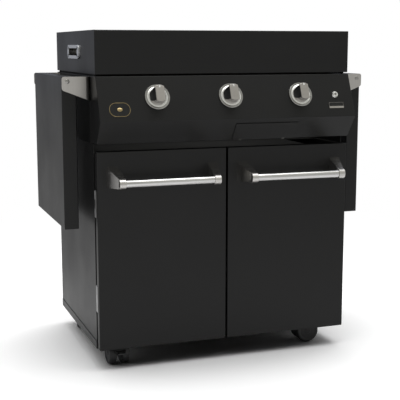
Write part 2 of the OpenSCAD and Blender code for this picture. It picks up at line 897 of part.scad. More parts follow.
module lid_bumpers() {
    inset = (lid_lip + sheet)/2;
    color(rubber) both_sides() for (y = [y_lid + bumper_in, y_back - bumper_in])
        translate([-side + inset, y, z_con1]) cylinder(d = bumper_dia, h = lid_gap);
}

/* ---- doors ---- */

module door_panel() {
    color(black) difference() {
        slab(-side, -door_gap/2, y_door, y_door + door_t, z_door0, z_door1);
        slab(-side + sheet, -door_gap/2 - sheet, y_door + sheet, y_door + door_t + 1,
             z_door0 + sheet, z_door1 - sheet);
    }
}

module door_liner() {
    color(black) slab(-side + sheet, -door_gap/2 - sheet, y_door + door_t - sheet, y_door + door_t,
                      z_door0 + sheet, z_door1 - sheet);
}

// The moving half of the door hinges: the middle knuckle and the leaf on the door's edge
module door_hinges() {
    third = hinge_h/3;
    color(steel) for (z = hinge_zs) translate([-pin_x, y_pin, z - hinge_h/2]) difference() {
        union() {
            translate([0, 0, third + clear]) cylinder(d = knuckle_dia, h = third - 2*clear);
            slab(-knuckle_dia/2, sheet - knuckle_dia/2, y_door + door_t - y_pin, 0,
                 third + clear, 2*third - clear);
            slab(-knuckle_dia/2, sheet - knuckle_dia/2, y_door + leaf_front - y_pin,
                 y_door + door_t - y_pin, 0, hinge_h);
        }
        cylinder(r = hinge_pin_dia/2 + running, h = hinge_h);
    }
}

module handle_bar() {
    l = handle_l - 2*sheet;
    color(steel) translate([-door_mid - l/2, y_bar, z_bar]) rotate([0, 90, 0])
        cylinder(d = bar_dia, h = l);
}

// The cast ends of a handle: a wedge from a foot on the door to a ring round the bar
module handle_posts() {
    foot_out_x = handle_l/2 + post_spread;
    color(steel) difference() {
        for (s = [-1, 1]) translate([-door_mid, 0, 0]) {
            translate([s > 0 ? handle_l/2 - ring_w : -handle_l/2, y_bar, z_bar])
                rotate([0, 90, 0]) cylinder(d = ring_dia, h = ring_w);
            hull() {
                slab(min(s*foot_out_x, s*(foot_out_x - post_foot_w)),
                     max(s*foot_out_x, s*(foot_out_x - post_foot_w)), y_door - 2, y_door,
                     z_bar - post_foot_h + post_lift, z_bar + post_lift);
                slab(min(s*handle_l/2, s*(handle_l/2 - ring_w)),
                     max(s*handle_l/2, s*(handle_l/2 - ring_w)), y_bar, y_bar + ring_dia/2,
                     z_bar - ring_dia/2 + 1, z_bar + ring_dia/2 - 1);
            }
        }
        translate([-door_mid - handle_l/2 + sheet, y_bar, z_bar]) rotate([0, 90, 0])
            cylinder(d = bar_dia, h = handle_l - 2*sheet);
    }
}

module left_door_panel() { door_panel(); }
module left_door_liner() { door_liner(); }
module left_door_hinges() { door_hinges(); }
module left_handle_bar() { handle_bar(); }
module left_handle_posts() { handle_posts(); }
module right_door_panel() { mirror([1, 0, 0]) door_panel(); }
module right_door_liner() { mirror([1, 0, 0]) door_liner(); }
module right_door_hinges() { mirror([1, 0, 0]) door_hinges(); }
module right_handle_bar() { mirror([1, 0, 0]) handle_bar(); }
module right_handle_posts() { mirror([1, 0, 0]) handle_posts(); }

/* ---- side shelves ---- */

// A shelf hanging folded: a shallow pan, open towards the cart, with a boss at each bolt
module shelf() {
    x0 = -shelf_x;
    x1 = -shelf_x + shelf_t;
    z0 = z_bracket - shelf_l;
    color(grey) difference() {
        union() {
            difference() {
                slab(x0, x1, y_shelf0, y_shelf1, z0, z_bracket);
                slab(x0 + sheet, x1 + 1, y_shelf0 + sheet, y_shelf1 - sheet,
                     z0 + sheet, z_bracket - sheet);
            }
            for (e = [0, 1])
                translate([-pivot_x, e == 0 ? y_shelf0 : y_shelf1, z_pivot])
                    rotate([e == 0 ? -90 : 90, 0, 0]) cylinder(d = boss_dia, h = sheet + boss_h);
        }
        translate([-pivot_x, y_shelf0 - 1, z_pivot]) rotate([-90, 0, 0])
            cylinder(r = pivot_dia/2 + running, h = shelf_d + 2);
    }
}

module left_shelf() { shelf(); }
module right_shelf() { mirror([1, 0, 0]) shelf(); }

/* ---- knobs and button ---- */

module valve_stem(x) {
    color(steel) on_up_face(x, knob_down) translate([0, 0, -valve_gap - stem_in])
        cylinder(d = stem_dia, h = valve_gap + stem_in + knob_air + stem_seat);
}

// A knob: a round foot and a bar to grip, whose ends follow the foot's rim
module knob(x) {
    color(steel) on_up_face(x, knob_down) translate([0, 0, knob_air]) difference() {
        union() {
            cylinder(r = knob_r, h = knob_foot_h);
            intersection() {
                cylinder(r = knob_r - 1, h = knob_foot_h + grip_h);
                translate([-grip_w/2, -knob_r, 0]) cube([grip_w, 2*knob_r, knob_foot_h + grip_h]);
            }
        }
        translate([0, 0, -1]) cylinder(r = stem_dia/2 + running, h = stem_seat + clear + 1);
    }
}

module left_valve_stem() { valve_stem(knob_xs[0]); }
module middle_valve_stem() { valve_stem(knob_xs[1]); }
module right_valve_stem() { valve_stem(knob_xs[2]); }
module left_knob() { knob(knob_xs[0]); }
module middle_knob() { knob(knob_xs[1]); }
module right_knob() { knob(knob_xs[2]); }

module igniter_button() {
    inside = module_neck - button_travel - clear;
    color(steel) on_up_face(button_x, button_down) translate([0, 0, -inside])
        cylinder(d = button_dia, h = inside + button_out);
}

/* ---- casters ---- */

function caster_at(k) =
    [k == 0 || k == 2 ? -caster_x : caster_x, k < 2 ? y_caster0 : y_caster1];

// Caster number k in its own place: local X points along the trail
module at_caster(k) {
    translate([caster_at(k)[0], caster_at(k)[1], 0]) rotate(caster_turn[k]) children();
}

module caster_plates() {
    color(steel) for (k = [0:3]) translate([caster_at(k)[0], caster_at(k)[1], 0]) {
        slab(-caster_plate_w/2, caster_plate_w/2, -caster_plate_w/2, caster_plate_w/2,
             z_base - plate_thick, z_base);
        translate([0, 0, z_base - plate_thick - king_l]) cylinder(d = king_dia, h = king_l + 1);
    }
}

// The hooded fork of a twin-wheel caster: hood, neck and the web between the wheels
module fork(k, pedal) {
    top = z_base - plate_thick - neck_gap;
    axle_z = wheel_dia/2;
    color(black) at_caster(k) difference() {
        union() {
            difference() {
                union() {
                    translate([trail, hood_w/2, axle_z]) rotate([90, 0, 0])
                        cylinder(r = hood_r, h = hood_w);
                    cylinder(r = neck_r, h = top);
                }
                translate([trail, hood_w, axle_z]) rotate([90, 0, 0])
                    cylinder(r = hood_r - hood_wall, h = 2*hood_w);
                slab(-2*wheel_dia, 2*wheel_dia, -wheel_dia, wheel_dia, -wheel_dia, axle_z + hood_low);
            }
            slab(-king_dia - web_front, trail, -web_w/2, web_w/2, axle_z - web_low, axle_z + web_high);
            translate([trail, web_w/2, axle_z]) rotate([90, 0, 0]) cylinder(r = hub_r, h = web_w);
            if (pedal) {
                for (s = [-1, 1])
                    translate([trail + hood_r - ear_in, s*(pedal_w/2 + ear_gap) - ear[1]/2,
                               axle_z + pedal_z - ear[2]/2])
                        cube(ear);
                translate([trail + hood_r + pedal_in, pedal_w/2 + 1, axle_z + pedal_z])
                    rotate([90, 0, 0]) cylinder(d = pedal_pin_dia, h = pedal_w + 2);
            }
        }
        translate([0, 0, -1]) cylinder(r = king_dia/2 + running, h = z_base);
        translate([trail, hood_w, axle_z]) rotate([90, 0, 0])
            cylinder(r = axle_dia/2 + running, h = 2*hood_w);
    }
}

// The brake pedal, which turns on the pin between the fork's ears
module pedal(k) {
    barrel_r = pedal_pin_dia/2 + pedal_wall;
    color(black) at_caster(k) translate([trail + hood_r + pedal_in, 0, wheel_dia/2 + pedal_z])
        difference() {
            union() {
                translate([0, pedal_w/2, 0]) rotate([90, 0, 0]) cylinder(r = barrel_r, h = pedal_w);
                slab(0, pedal_l, -pedal_w/2, pedal_w/2, -pedal_t/2, pedal_t/2);
            }
            translate([0, pedal_w, 0]) rotate([90, 0, 0])
                cylinder(r = pedal_pin_dia/2 + running, h = 2*pedal_w);
        }
}

// A pair of wheels on their axle
module wheels(k) {
    span = wheel_pitch + wheel_w;
    color(rubber) at_caster(k) translate([trail, 0, wheel_dia/2]) rotate([90, 0, 0]) {
        translate([0, 0, -span/2]) cylinder(d = axle_dia, h = span);
        for (s = [-1, 1]) translate([0, 0, s*wheel_pitch/2 - wheel_w/2])
            ring(wheel_dia/2, axle_dia/2, wheel_w);
    }
}

module front_left_fork() { fork(0, true); }
module front_right_fork() { fork(1, true); }
module rear_left_fork() { fork(2, false); }
module rear_right_fork() { fork(3, false); }
module front_left_wheels() { wheels(0); }
module front_right_wheels() { wheels(1); }
module rear_left_wheels() { wheels(2); }
module rear_right_wheels() { wheels(3); }
module left_brake_pedal() { pedal(0); }
module right_brake_pedal() { pedal(1); }

base_panel();
left_side_panel();
right_side_panel();
back_panel();
back_panel_screws();
top_deck();
top_rails();
cross_rail();
door_catches();
cabinet_hinges();
tank_ring();
firebox();
griddle_plate();
burners();
igniter_electrodes();
gas_manifold();
gas_valves();
gas_inlet();
console_panel();
console_end_caps();
control_bezels();
igniter_module();
drawer_runners();
shelf_brackets();
shelf_pivot_bolts();
caster_plates();
lid_shell();
lid_pulls();
lid_bumpers();
left_door_panel();
left_door_liner();
left_door_hinges();
left_handle_bar();
left_handle_posts();
right_door_panel();
right_door_liner();
right_door_hinges();
right_handle_bar();
right_handle_posts();
left_shelf();
right_shelf();
drawer_front();
grease_tray();
left_valve_stem();
middle_valve_stem();
right_valve_stem();
left_knob();
middle_knob();
right_knob();
igniter_button();
front_left_fork();
front_right_fork();
rear_left_fork();
rear_right_fork();
front_left_wheels();
front_right_wheels();
rear_left_wheels();
rear_right_wheels();
left_brake_pedal();
right_brake_pedal();
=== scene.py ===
# %% [markdown]
# # A flat-top gas barbecue on its cart
#
# This notebook dresses the engineering model of a gas barbecue: a folded-steel cart with two
# doors, a sloping console with three knobs, a box lid over the cooking plate, two folding side
# shelves and four casters. The model gives every part its place and its motion. Here the parts
# get their edges, finishes and small details, and a plain white studio to stand in.

# %% Load the model
import json
import math

import bmesh
import bpy
from mathutils import Matrix, Vector

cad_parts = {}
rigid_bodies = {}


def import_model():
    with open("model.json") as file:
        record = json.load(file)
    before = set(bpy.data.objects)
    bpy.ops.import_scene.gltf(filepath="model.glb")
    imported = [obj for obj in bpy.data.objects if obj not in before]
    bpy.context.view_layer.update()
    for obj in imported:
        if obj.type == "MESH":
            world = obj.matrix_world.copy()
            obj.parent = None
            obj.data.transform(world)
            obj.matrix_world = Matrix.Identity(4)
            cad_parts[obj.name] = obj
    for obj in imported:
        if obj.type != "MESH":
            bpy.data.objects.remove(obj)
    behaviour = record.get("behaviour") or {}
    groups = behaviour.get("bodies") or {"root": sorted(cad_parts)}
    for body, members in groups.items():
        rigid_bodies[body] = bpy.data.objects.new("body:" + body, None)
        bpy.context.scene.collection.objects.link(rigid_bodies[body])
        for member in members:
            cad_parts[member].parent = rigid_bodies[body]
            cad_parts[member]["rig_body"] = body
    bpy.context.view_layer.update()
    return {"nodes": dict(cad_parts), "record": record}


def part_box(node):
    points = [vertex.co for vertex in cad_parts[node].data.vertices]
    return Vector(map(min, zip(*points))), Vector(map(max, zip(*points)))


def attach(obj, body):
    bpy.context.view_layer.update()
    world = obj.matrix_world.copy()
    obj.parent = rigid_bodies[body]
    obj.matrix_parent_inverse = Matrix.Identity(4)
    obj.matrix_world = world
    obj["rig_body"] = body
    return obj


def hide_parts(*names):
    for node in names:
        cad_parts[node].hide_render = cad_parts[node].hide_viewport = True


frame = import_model()
PARTS = frame["nodes"]
MM = 0.001

# %% [markdown]
# ## Measures that the steps share
#
# A part's corners say where it is. The doors' front is the plane that a fitter would measure
# from, so depths below are counted from it. The console is two sloping planes that meet in a
# ridge, and whatever stands on its upper plane is placed with one matrix.

# %% Main planes of the cart
door_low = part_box("left_door_panel")[0]
front_y, side_x = door_low.y, -door_low.x
console_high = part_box("console_panel")[1]
ridge_rise, ridge_out = 128 * MM, 54 * MM
face_tilt = math.atan2(ridge_rise, ridge_out)


def on_console(x, down, out=0.0):
    """Where a point on the console's upper face is: its Z axis stands square off the face."""
    top_edge = Matrix.Translation((x, front_y, console_high.z))
    return top_edge @ Matrix.Rotation(face_tilt, 4, "X") @ Matrix.Translation((0, -down, out))


print("front plane at", round(front_y, 4), "half width", round(side_x, 4))

# %% [markdown]
# ## Camera
#
# The camera stands to the left of the middle and a little above the console, about three metres
# off, with a lens a bit longer than a portrait lens. A long lens far away keeps the cart's
# uprights nearly parallel, which is how catalogue pictures of furniture are taken. The Standard
# view shows each colour as it is written, without a film curve.

# %% Camera
lens = bpy.data.cameras.new("camera")
lens.lens = 84.387
lens.sensor_width = 36
lens.clip_end = 60
camera = bpy.data.objects.new("camera", lens)
camera.location = (-1.0266, -2.8860, 0.9682)
camera.rotation_euler = (math.radians(80.714), 0, math.radians(-19.523))
bpy.context.scene.collection.objects.link(camera)
bpy.context.scene.camera = camera
bpy.context.scene.view_settings.view_transform = "Standard"
print("camera is", round(camera.location.length, 2), "m from the floor's middle")

# %% [markdown]
# ## Colour and nodes
#
# Finishes are written as the hex codes that a paint card or a colour picker gives. Those codes
# are in sRGB, while a shader counts light, so one function turns them into linear numbers. One
# more function adds a shader node with its settings and its links in a single line.


# %% Colour and node helpers
def tone(code):
    """Linear colour of an sRGB hex code."""
    parts = [int(code[k : k + 2], 16) / 255 for k in (0, 2, 4)]
    return [c / 12.92 if c <= 0.04045 else ((c + 0.055) / 1.055) ** 2.4 for c in parts] + [1.0]


def add(tree, kind, sockets=None, **settings):
    """Adds a node. A socket's value is either a number, a colour or another node's output."""
    made = tree.nodes.new("ShaderNode" + kind)
    for name, value in settings.items():
        setattr(made, name, value)
    for name, value in (sockets or {}).items():
        if isinstance(value, bpy.types.NodeSocket):
            tree.links.new(value, made.inputs[name])
        else:
            made.inputs[name].default_value = value
    return made


def finish(name):
    """A new material with an empty node tree, and its object coordinates in metres."""
    material = bpy.data.materials.new(name)
    material.use_nodes = True
    tree = material.node_tree
    tree.nodes.clear()
    place = add(tree, "TexCoord").outputs["Object"]
    return material, tree, place


print("white is", tone("ffffff")[:3])

# %% [markdown]
# ## Studio
#
# A catalogue picture has a white sweep behind the object and a floor so evenly lit that only
# the object's own shadow shows on it. The white is made by what the camera is allowed to see:
# the world is plain white for camera rays, and the floor fades into the same white away from
# the cart. What lights the paint stays at a plain level. Metal and gloss paint mirror a dimmer
# room, with a bright wall on the right and a bright ceiling, as in a studio with flags in front.

# %% Studio levels
# CAP and WASH light matt paint from above and from behind. The others are what mirrors see.
CAP, WASH = 1.25, 0.7
ROOM_BACK, ROOM_FRONT, RIGHT_WALL, CEILING, FLOOR_FRONT = 0.33, 0.5, 0.9, 1.0, 0.75
SHOWN_WHITE = 1.14
TOP_POWER, GAP_POWER = 62, 0.2
print("room levels", ROOM_BACK, "to", CEILING)

# %% World
world = bpy.data.worlds.new("studio")
bpy.context.scene.world = world
world.use_nodes = True
sky = world.node_tree
sky.nodes.clear()
direction = add(sky, "TexCoord").outputs["Generated"]
ways = add(sky, "SeparateXYZ", {"Vector": direction}).outputs
level = {}
# Each level goes from low to high as the direction's part along one axis goes from start to end.
for name, axis, start, end, low, high in (
    ("cap", "Z", 0.75, 0.9, 0.0, CAP),
    ("wash_behind", "Y", -0.7, 0.1, 0.0, WASH),
    ("wash_above", "Z", 0.0, 0.35, 0.0, 1.0),
    ("right_wall", "X", 0.55, 0.85, 0.0, RIGHT_WALL),
    ("front", "Y", 0.3, -0.6, ROOM_BACK, ROOM_FRONT),
    ("ceiling", "Z", 0.62, 0.88, 0.0, CEILING),
    ("cool_back", "Y", -0.2, 0.3, 0.0, 1.0),
):
    level[name] = add(
        sky, "MapRange",
        {"Value": ways[axis], "From Min": start, "From Max": end, "To Min": low, "To Max": high},
        interpolation_type="SMOOTHSTEP",
    ).outputs["Result"]
for name, first, second, operation in (
    ("wash", "wash_behind", "wash_above", "MULTIPLY"),
    ("overhead", "cap", "wash", "ADD"),
    ("walls", "right_wall", "ceiling", "MAXIMUM"),
    ("mirrored", "walls", "front", "MAXIMUM"),
):
    level[name] = add(sky, "Math", {0: level[first], 1: level[second]}, operation=operation).outputs[0]
tint = add(sky, "MixRGB", {"Fac": level["cool_back"], "Color1": tone("fffff8"), "Color2": tone("eff3ff")})
rays = add(sky, "LightPath").outputs
ambient = add(sky, "Background", {"Color": tone("ffffff"), "Strength": level["overhead"]})
room = add(sky, "Background", {"Color": tint.outputs[0], "Strength": level["mirrored"]})
backdrop = add(sky, "Background", {"Color": tone("ffffff"), "Strength": 1.0})
mirrored = add(sky, "MixShader", {0: rays["Is Glossy Ray"], 1: ambient.outputs[0], 2: room.outputs[0]})
seen = add(sky, "Math", {0: rays["Is Camera Ray"], 1: rays["Is Transmission Ray"]}, operation="MAXIMUM")
whole = add(sky, "MixShader", {0: seen.outputs[0], 1: mirrored.outputs[0], 2: backdrop.outputs[0]})
add(sky, "OutputWorld", {"Surface": whole.outputs[0]})
print("world nodes", len(sky.nodes))

# %% Floor
bpy.ops.mesh.primitive_plane_add(size=40, location=(0, 0, 0))
floor = bpy.context.object
floor.name = "studio_floor"
paper, tree, place = finish("matt_white_studio_paper")
ways = add(tree, "SeparateXYZ", {"Vector": place}).outputs
away = add(tree, "VectorMath", {0: place}, operation="LENGTH").outputs["Value"]
# The floor's mirrored level is set by place, since a mirror sees the sweep far from the cart.
level = {}
for name, value, start, end, low, high, curve in (
    ("behind", ways["Y"], 2.0, 6.0, ROOM_BACK + 0.16, ROOM_BACK + 0.03, "LINEAR"),
    ("in_front", ways["X"], 0.3, 3.5, FLOOR_FRONT + 0.13, FLOOR_FRONT - 0.26, "LINEAR"),
    ("mirrored", ways["Y"], 0.8, -1.5, "behind", "in_front", "LINEAR"),
    ("far_for_gloss", away, 0.6, 1.5, 0.0, 1.0, "LINEAR"),
    ("far", away, 1.0, 2.4, 0.0, 1.0, "SMOOTHSTEP"),
):
    low, high = level.get(low, low), level.get(high, high)
    level[name] = add(
        tree, "MapRange",
        {"Value": value, "From Min": start, "From Max": end, "To Min": low, "To Max": high},
        interpolation_type=curve,
    ).outputs["Result"]
rays = add(tree, "LightPath").outputs
true_paper = add(tree, "BsdfDiffuse", {"Color": tone("e6e6e6")})
shown_paper = add(tree, "BsdfDiffuse", {"Color": (SHOWN_WHITE, SHOWN_WHITE, SHOWN_WHITE, 1)})
sweep = add(tree, "Emission", {"Color": tone("ffffff"), "Strength": 1.0})
dim_sweep = add(tree, "Emission", {"Color": tone("ffffff"), "Strength": level["mirrored"]})
layer = {}
for name, share, under, over in (
    ("seen", level["far"], shown_paper, sweep),
    ("mirrored", level["far_for_gloss"], true_paper, dim_sweep),
    ("not_seen", rays["Is Glossy Ray"], true_paper, "mirrored"),
    ("whole", rays["Is Camera Ray"], "not_seen", "seen"),
):
    under, over = (layer.get(one, one).outputs[0] for one in (under, over))
    layer[name] = add(tree, "MixShader", {0: share, 1: under, 2: over})
add(tree, "OutputMaterial", {"Surface": layer["whole"].outputs[0]})
floor.data.materials.append(paper)
print("floor is", floor.dimensions[:2])

# %% [markdown]
# ## Lamps
#
# One large soft lamp hangs overhead: it gives the handle bars their white line and the floor its
# shadow. A product studio uses soft lamps, since a small one would print its own shape on every
# shiny part. A second, very weak one lies hidden in the gap over the doors, where the steep light
# doesn't reach, and lifts the deck there as light bouncing about under the console would.


# %% Lamps
def softbox(name, at, towards, size, power):
    """An area lamp that faces a point."""
    lamp = bpy.data.lights.new(name, "AREA")
    lamp.shape = "RECTANGLE"
    lamp.size, lamp.size_y = size
    lamp.energy = power
    holder = bpy.data.objects.new(name, lamp)
    holder.location = at
    holder.rotation_euler = (Vector(towards) - Vector(at)).to_track_quat("-Z", "Y").to_euler()
    bpy.context.scene.collection.objects.link(holder)
    return holder


softbox("top_lamp", (0.2, 0.0, 3.4), (0, 0, 0.5), (3.0, 2.6), TOP_POWER)
gap_y = front_y + 140 * MM
gap_lamp = softbox("gap_lamp", (0, gap_y, 0.688), (0, gap_y, 0), (0.78, 0.2), GAP_POWER)
gap_lamp.visible_glossy = False
print("lamps", len(bpy.data.lights))

# %% [markdown]
# ## How a finish is built
#
# Every finish here is one shader whose colour drifts between two tones and whose gloss drifts
# between two roughness values. What differs is the pattern that they follow and the relief, so
# each kind of finish makes its pattern and one function does the rest.


# %% From a pattern to a finish
def surface(tree, tones, tone_by, gloss, gloss_by, span, sockets):
    """Ends a material. Its tone and gloss follow patterns; span is the gloss pattern's range."""
    body = add(tree, "MixRGB", {"Fac": tone_by, "Color1": tone(tones[0]), "Color2": tone(tones[1])})
    rough = add(
        tree, "MapRange",
        {"Value": gloss_by, "From Min": span[0], "From Max": span[1], "To Min": gloss[0], "To Max": gloss[1]},
    )
    look = {"Base Color": body.outputs[0], "Roughness": rough.outputs["Result"], **sockets}
    shader = add(tree, "BsdfPrincipled", look)
    add(tree, "OutputMaterial", {"Surface": shader.outputs[0]})
    return shader


print("finishes start from", surface.__name__)

# %% [markdown]
# ## Powder coat
#
# Most of the cart is sheet steel with a black powder coat: dry paint dust that is baked until it
# flows together. It never levels as wet paint does, so it keeps a faint orange peel of about two
# millimetres, which breaks a reflection up softly. The colour is all but even, the gloss varies a
# little with the thickness of the coat. Inside the cabinet the coat is duller. The deck under the
# console is painted a lighter grey, which is painted light: it stands in for light that reaches
# the deck in the gap over the doors.


# %% Powder coat
def powder_coat(name, dark, light, low_gloss, high_gloss):
    """Baked powder paint between two tones, with orange peel."""
    material, tree, place = finish(name)
    drift = add(tree, "TexNoise", {"Vector": place, "Scale": 1 / (180 * MM), "Detail": 3.0}).outputs["Fac"]
    peel = add(tree, "TexNoise", {"Vector": place, "Scale": 1 / (2.2 * MM), "Detail": 1.0}).outputs["Fac"]
    bump = add(tree, "Bump", {"Height": peel, "Strength": 0.16, "Distance": 0.02 * MM}).outputs["Normal"]
    paint = {"IOR": 1.5, "Specular IOR Level": 0.32, "Normal": bump}
    surface(tree, (dark, light), drift, (low_gloss, high_gloss), drift, (0.3, 0.7), paint)
    return material


black_paint = powder_coat("semi_gloss_black_powder_coat", "101010", "151515", 0.34, 0.42)
inner_paint = powder_coat("satin_black_powder_coat", "101010", "151515", 0.46, 0.54)
# The deck's lighter grey is painted light: it stands in for light in the gap over the doors.
deck_grey_painted_light = powder_coat("thin_black_undercoat", "393938", "40403e", 0.5, 0.6)
print("paints", black_paint.name, inner_paint.name, deck_grey_painted_light.name)

# %% [markdown]
# ## Brushed and drawn metal
#
# Stainless sheet is finished by a belt that leaves fine parallel scratches, and a drawn tube has
# long streaks from its die. They are a few hundredths of a millimetre apart, far too fine to see
# from here, so they are drawn coarser, long in the tool's direction. The scratches stretch
# highlights across themselves, and a slow cloud in the roughness keeps a large plate from
# looking like plastic.


# %% Brushed metal
def brushed(name, dark, light, along, streak, low, high, spread=0.0):
    """Metal with scratches along X, Y or Z; streak is their width in millimetres.

    On a round bar, spread widens the highlights round the bar, across its scratches.
    """
    material, tree, place = finish(name)
    scale = [1 / (streak * MM)] * 3
    scale["XYZ".index(along)] = 1 / (240 * MM)
    stretched = add(tree, "Mapping", {"Vector": place, "Scale": scale}).outputs["Vector"]
    lines = add(tree, "TexNoise", {"Vector": stretched, "Scale": 1.0, "Detail": 3.0}).outputs["Fac"]
    cloud = add(tree, "TexNoise", {"Vector": place, "Scale": 1 / (60 * MM), "Detail": 2.0}).outputs["Fac"]
    both = add(tree, "Math", {0: lines, 1: cloud}, operation="ADD").outputs[0]
    bump = add(tree, "Bump", {"Height": lines, "Strength": 0.12, "Distance": 0.02 * MM}).outputs["Normal"]
    steel = surface(
        tree, (dark, light), lines, (low, high), both, (0.7, 1.3), {"Metallic": 1.0, "Normal": bump}
    )
    if spread:
        round_bar = add(tree, "Tangent", direction_type="RADIAL", axis=along).outputs[0]
        tree.links.new(round_bar, steel.inputs["Tangent"])
        steel.inputs["Anisotropic"].default_value = spread
    return material


# The brackets' plate shows a soft grey sheen, the tube bright bands along its length with faint
# streaks, its end rings a blurred white, and the aluminium pulls and the knobs' caps a dull one.
bracket_steel = brushed("belt_brushed_stainless_plate", "b5b2ae", "c9c6c2", "Z", 1.1, 0.34, 0.46)
bar_steel = brushed("drawn_stainless_tube", "9a9793", "ffffff", "X", 6.0, 0.17, 0.24, spread=0.3)
ring_steel = brushed("brushed_end_ring", "a9a6a1", "f6f4f1", "X", 5.0, 0.28, 0.38)
pull_steel = brushed("satin_aluminium_pressing", "dcdde0", "f0f1f4", "Y", 1.2, 0.36, 0.46)
grip_zinc = brushed("brushed_nickel_on_cast_zinc", "a8a49f", "bfbbb6", "X", 1.0, 0.26, 0.36)
print("brushed finishes", 5)

# %% [markdown]
# ## Cast, plated and mill-finish metal
#
# Knob feet and bezels are zinc castings with a satin chrome plate. The handles' end castings are
# polished before they are plated, and the bezels' slopes are cut with a diamond tool. The hidden
# steel keeps the grey skin that it had from the mill or a zinc bath, whose flower pattern is a
# few millimetres across. Valves are plain machined brass.


# %% Plain metals
def plain_metal(name, dark, light, grain, low, high):
    """Metal whose tone and gloss vary in patches; grain is their size in millimetres."""
    material, tree, place = finish(name)
    per_metre = 1 / (grain * MM)
    patch = add(tree, "TexVoronoi", {"Vector": place, "Scale": per_metre}).outputs["Distance"]
    cloud = add(tree, "TexNoise", {"Vector": place, "Scale": 0.3 * per_metre, "Detail": 4.0}).outputs["Fac"]
    mixed = add(tree, "Math", {0: patch, 1: cloud}, operation="MULTIPLY").outputs[0]
    surface(tree, (dark, light), mixed, (low, high), mixed, (0.0, 0.6), {"Metallic": 1.0})
    return material


# Satin plate is a blurred grey mirror, a cut slope almost white, polished plate darker and
# clearer. Zinc plate and a galvanised skin are pale and dull, blued steel is nearly black.
chrome = plain_metal("satin_chrome_plate", "a5a4a1", "bcbbb8", 9, 0.2, 0.3)
cut_chrome = plain_metal("diamond_cut_chrome", "f8f8f6", "fefefc", 9, 0.16, 0.24)
cast_chrome = plain_metal("polished_plate_on_zinc_casting", "c8c6c3", "dad8d5", 6, 0.21, 0.27)
hinge_steel = plain_metal("zinc_plated_hinge_steel", "a5a5a5", "bcbcbc", 4, 0.3, 0.42)
spring_steel = plain_metal("blued_spring_steel", "4c4c4a", "605f5c", 4, 0.3, 0.4)
gold_rim = plain_metal("gold_coloured_plate", "a8946a", "c8b68c", 5, 0.3, 0.4)
zinc_skin = plain_metal("galvanised_steel", "8f9294", "b3b6b8", 5, 0.38, 0.55)
machined_steel = plain_metal("machined_steel", "9a9895", "bab8b4", 3, 0.26, 0.36)
brass = plain_metal("machined_brass", "9c7a3c", "c09a52", 4, 0.24, 0.36)
print("plain metals", 9)

# %% [markdown]
# ## Cooking plate
#
# The plate is thick rolled steel that is seasoned: oil is burnt on in thin coats until the steel
# is brown-black and slightly shiny. Fresh patches are glossier and darker than worn ones, and the
# patches are about as big as a hand.

# %% Seasoned steel
seasoned, tree, place = finish("oil_seasoned_rolled_steel")
patches = add(tree, "TexNoise", {"Vector": place, "Scale": 1 / (90 * MM), "Detail": 6.0, "Roughness": 0.6})
patches = patches.outputs["Fac"]
spots = add(tree, "MapRange", {"Value": patches, "From Min": 0.35, "From Max": 0.68}).outputs["Result"]
grit = add(tree, "TexNoise", {"Vector": place, "Scale": 1 / (1.5 * MM), "Detail": 2.0}).outputs["Fac"]
bump = add(tree, "Bump", {"Height": grit, "Strength": 0.25, "Distance": 0.04 * MM}).outputs["Normal"]
surface(
    tree, ("1b1816", "3b342e"), spots, (0.28, 0.52), patches, (0.35, 0.65), {"Metallic": 0.75, "Normal": bump}
)
print(seasoned.name)

# %% [markdown]
# ## Moulded plastics, rubber, ceramic and the magnet
#
# Caster hoods are nylon, wheels have a polyurethane tread, the spark module is ABS and the lid
# rests on rubber. All of them come from a spark-eroded mould whose grain is about half a
# millimetre, so one recipe serves: a body tone with slight mottling, and a fine relief that dulls
# the gloss. The electrodes' ceramic is glazed and the plates' enamel is fired, so their relief
# is small and their gloss high.


# %% Moulded finishes
def moulded(name, dark, light, grain, rough, ior, relief=0.2):
    """A moulded material; grain is the mould's texture in millimetres."""
    material, tree, place = finish(name)
    mottle = add(tree, "TexNoise", {"Vector": place, "Scale": 1 / (14 * MM), "Detail": 4.0}).outputs["Fac"]
    skin = add(tree, "TexNoise", {"Vector": place, "Scale": 1 / (grain * MM), "Detail": 2.0}).outputs["Fac"]
    bump = add(tree, "Bump", {"Height": skin, "Strength": relief, "Distance": 0.05 * MM}).outputs["Normal"]
    gloss = (rough - 0.05, rough + 0.05)
    surface(tree, (dark, light), mottle, gloss, mottle, (0.3, 0.7), {"IOR": ior, "Normal": bump})
    return material


nylon = moulded("moulded_black_nylon", "121213", "191a1b", 0.6, 0.45, 1.53)
tread = moulded("polyurethane_tread", "161617", "202021", 0.9, 0.55, 1.5)
abs_case = moulded("moulded_abs", "171718", "1e1e1f", 0.5, 0.42, 1.54)
rubber = moulded("moulded_rubber", "121212", "1a1a1a", 0.8, 0.7, 1.52)
ferrite = moulded("ferrite_magnet_in_zinc_cup", "26282a", "34373a", 1.2, 0.5, 1.6)
glaze = moulded("glazed_alumina", "d9d3c6", "e6e1d6", 2.0, 0.16, 1.55, relief=0.05)
enamel = moulded("black_enamel", "0d0d0d", "121212", 0.8, 0.22, 1.5, relief=0.04)
mark_paint = moulded("white_enamel_fill", "dededa", "f2f2ee", 0.5, 0.35, 1.5)
print("moulded finishes", 8)

# %% [markdown]
# ## Finishes onto the engineering parts
#
# Every part already names the finish it needs, in the record's list of slots. A part that keeps
# its shape takes its finish here; those that the later steps model anew take theirs there.

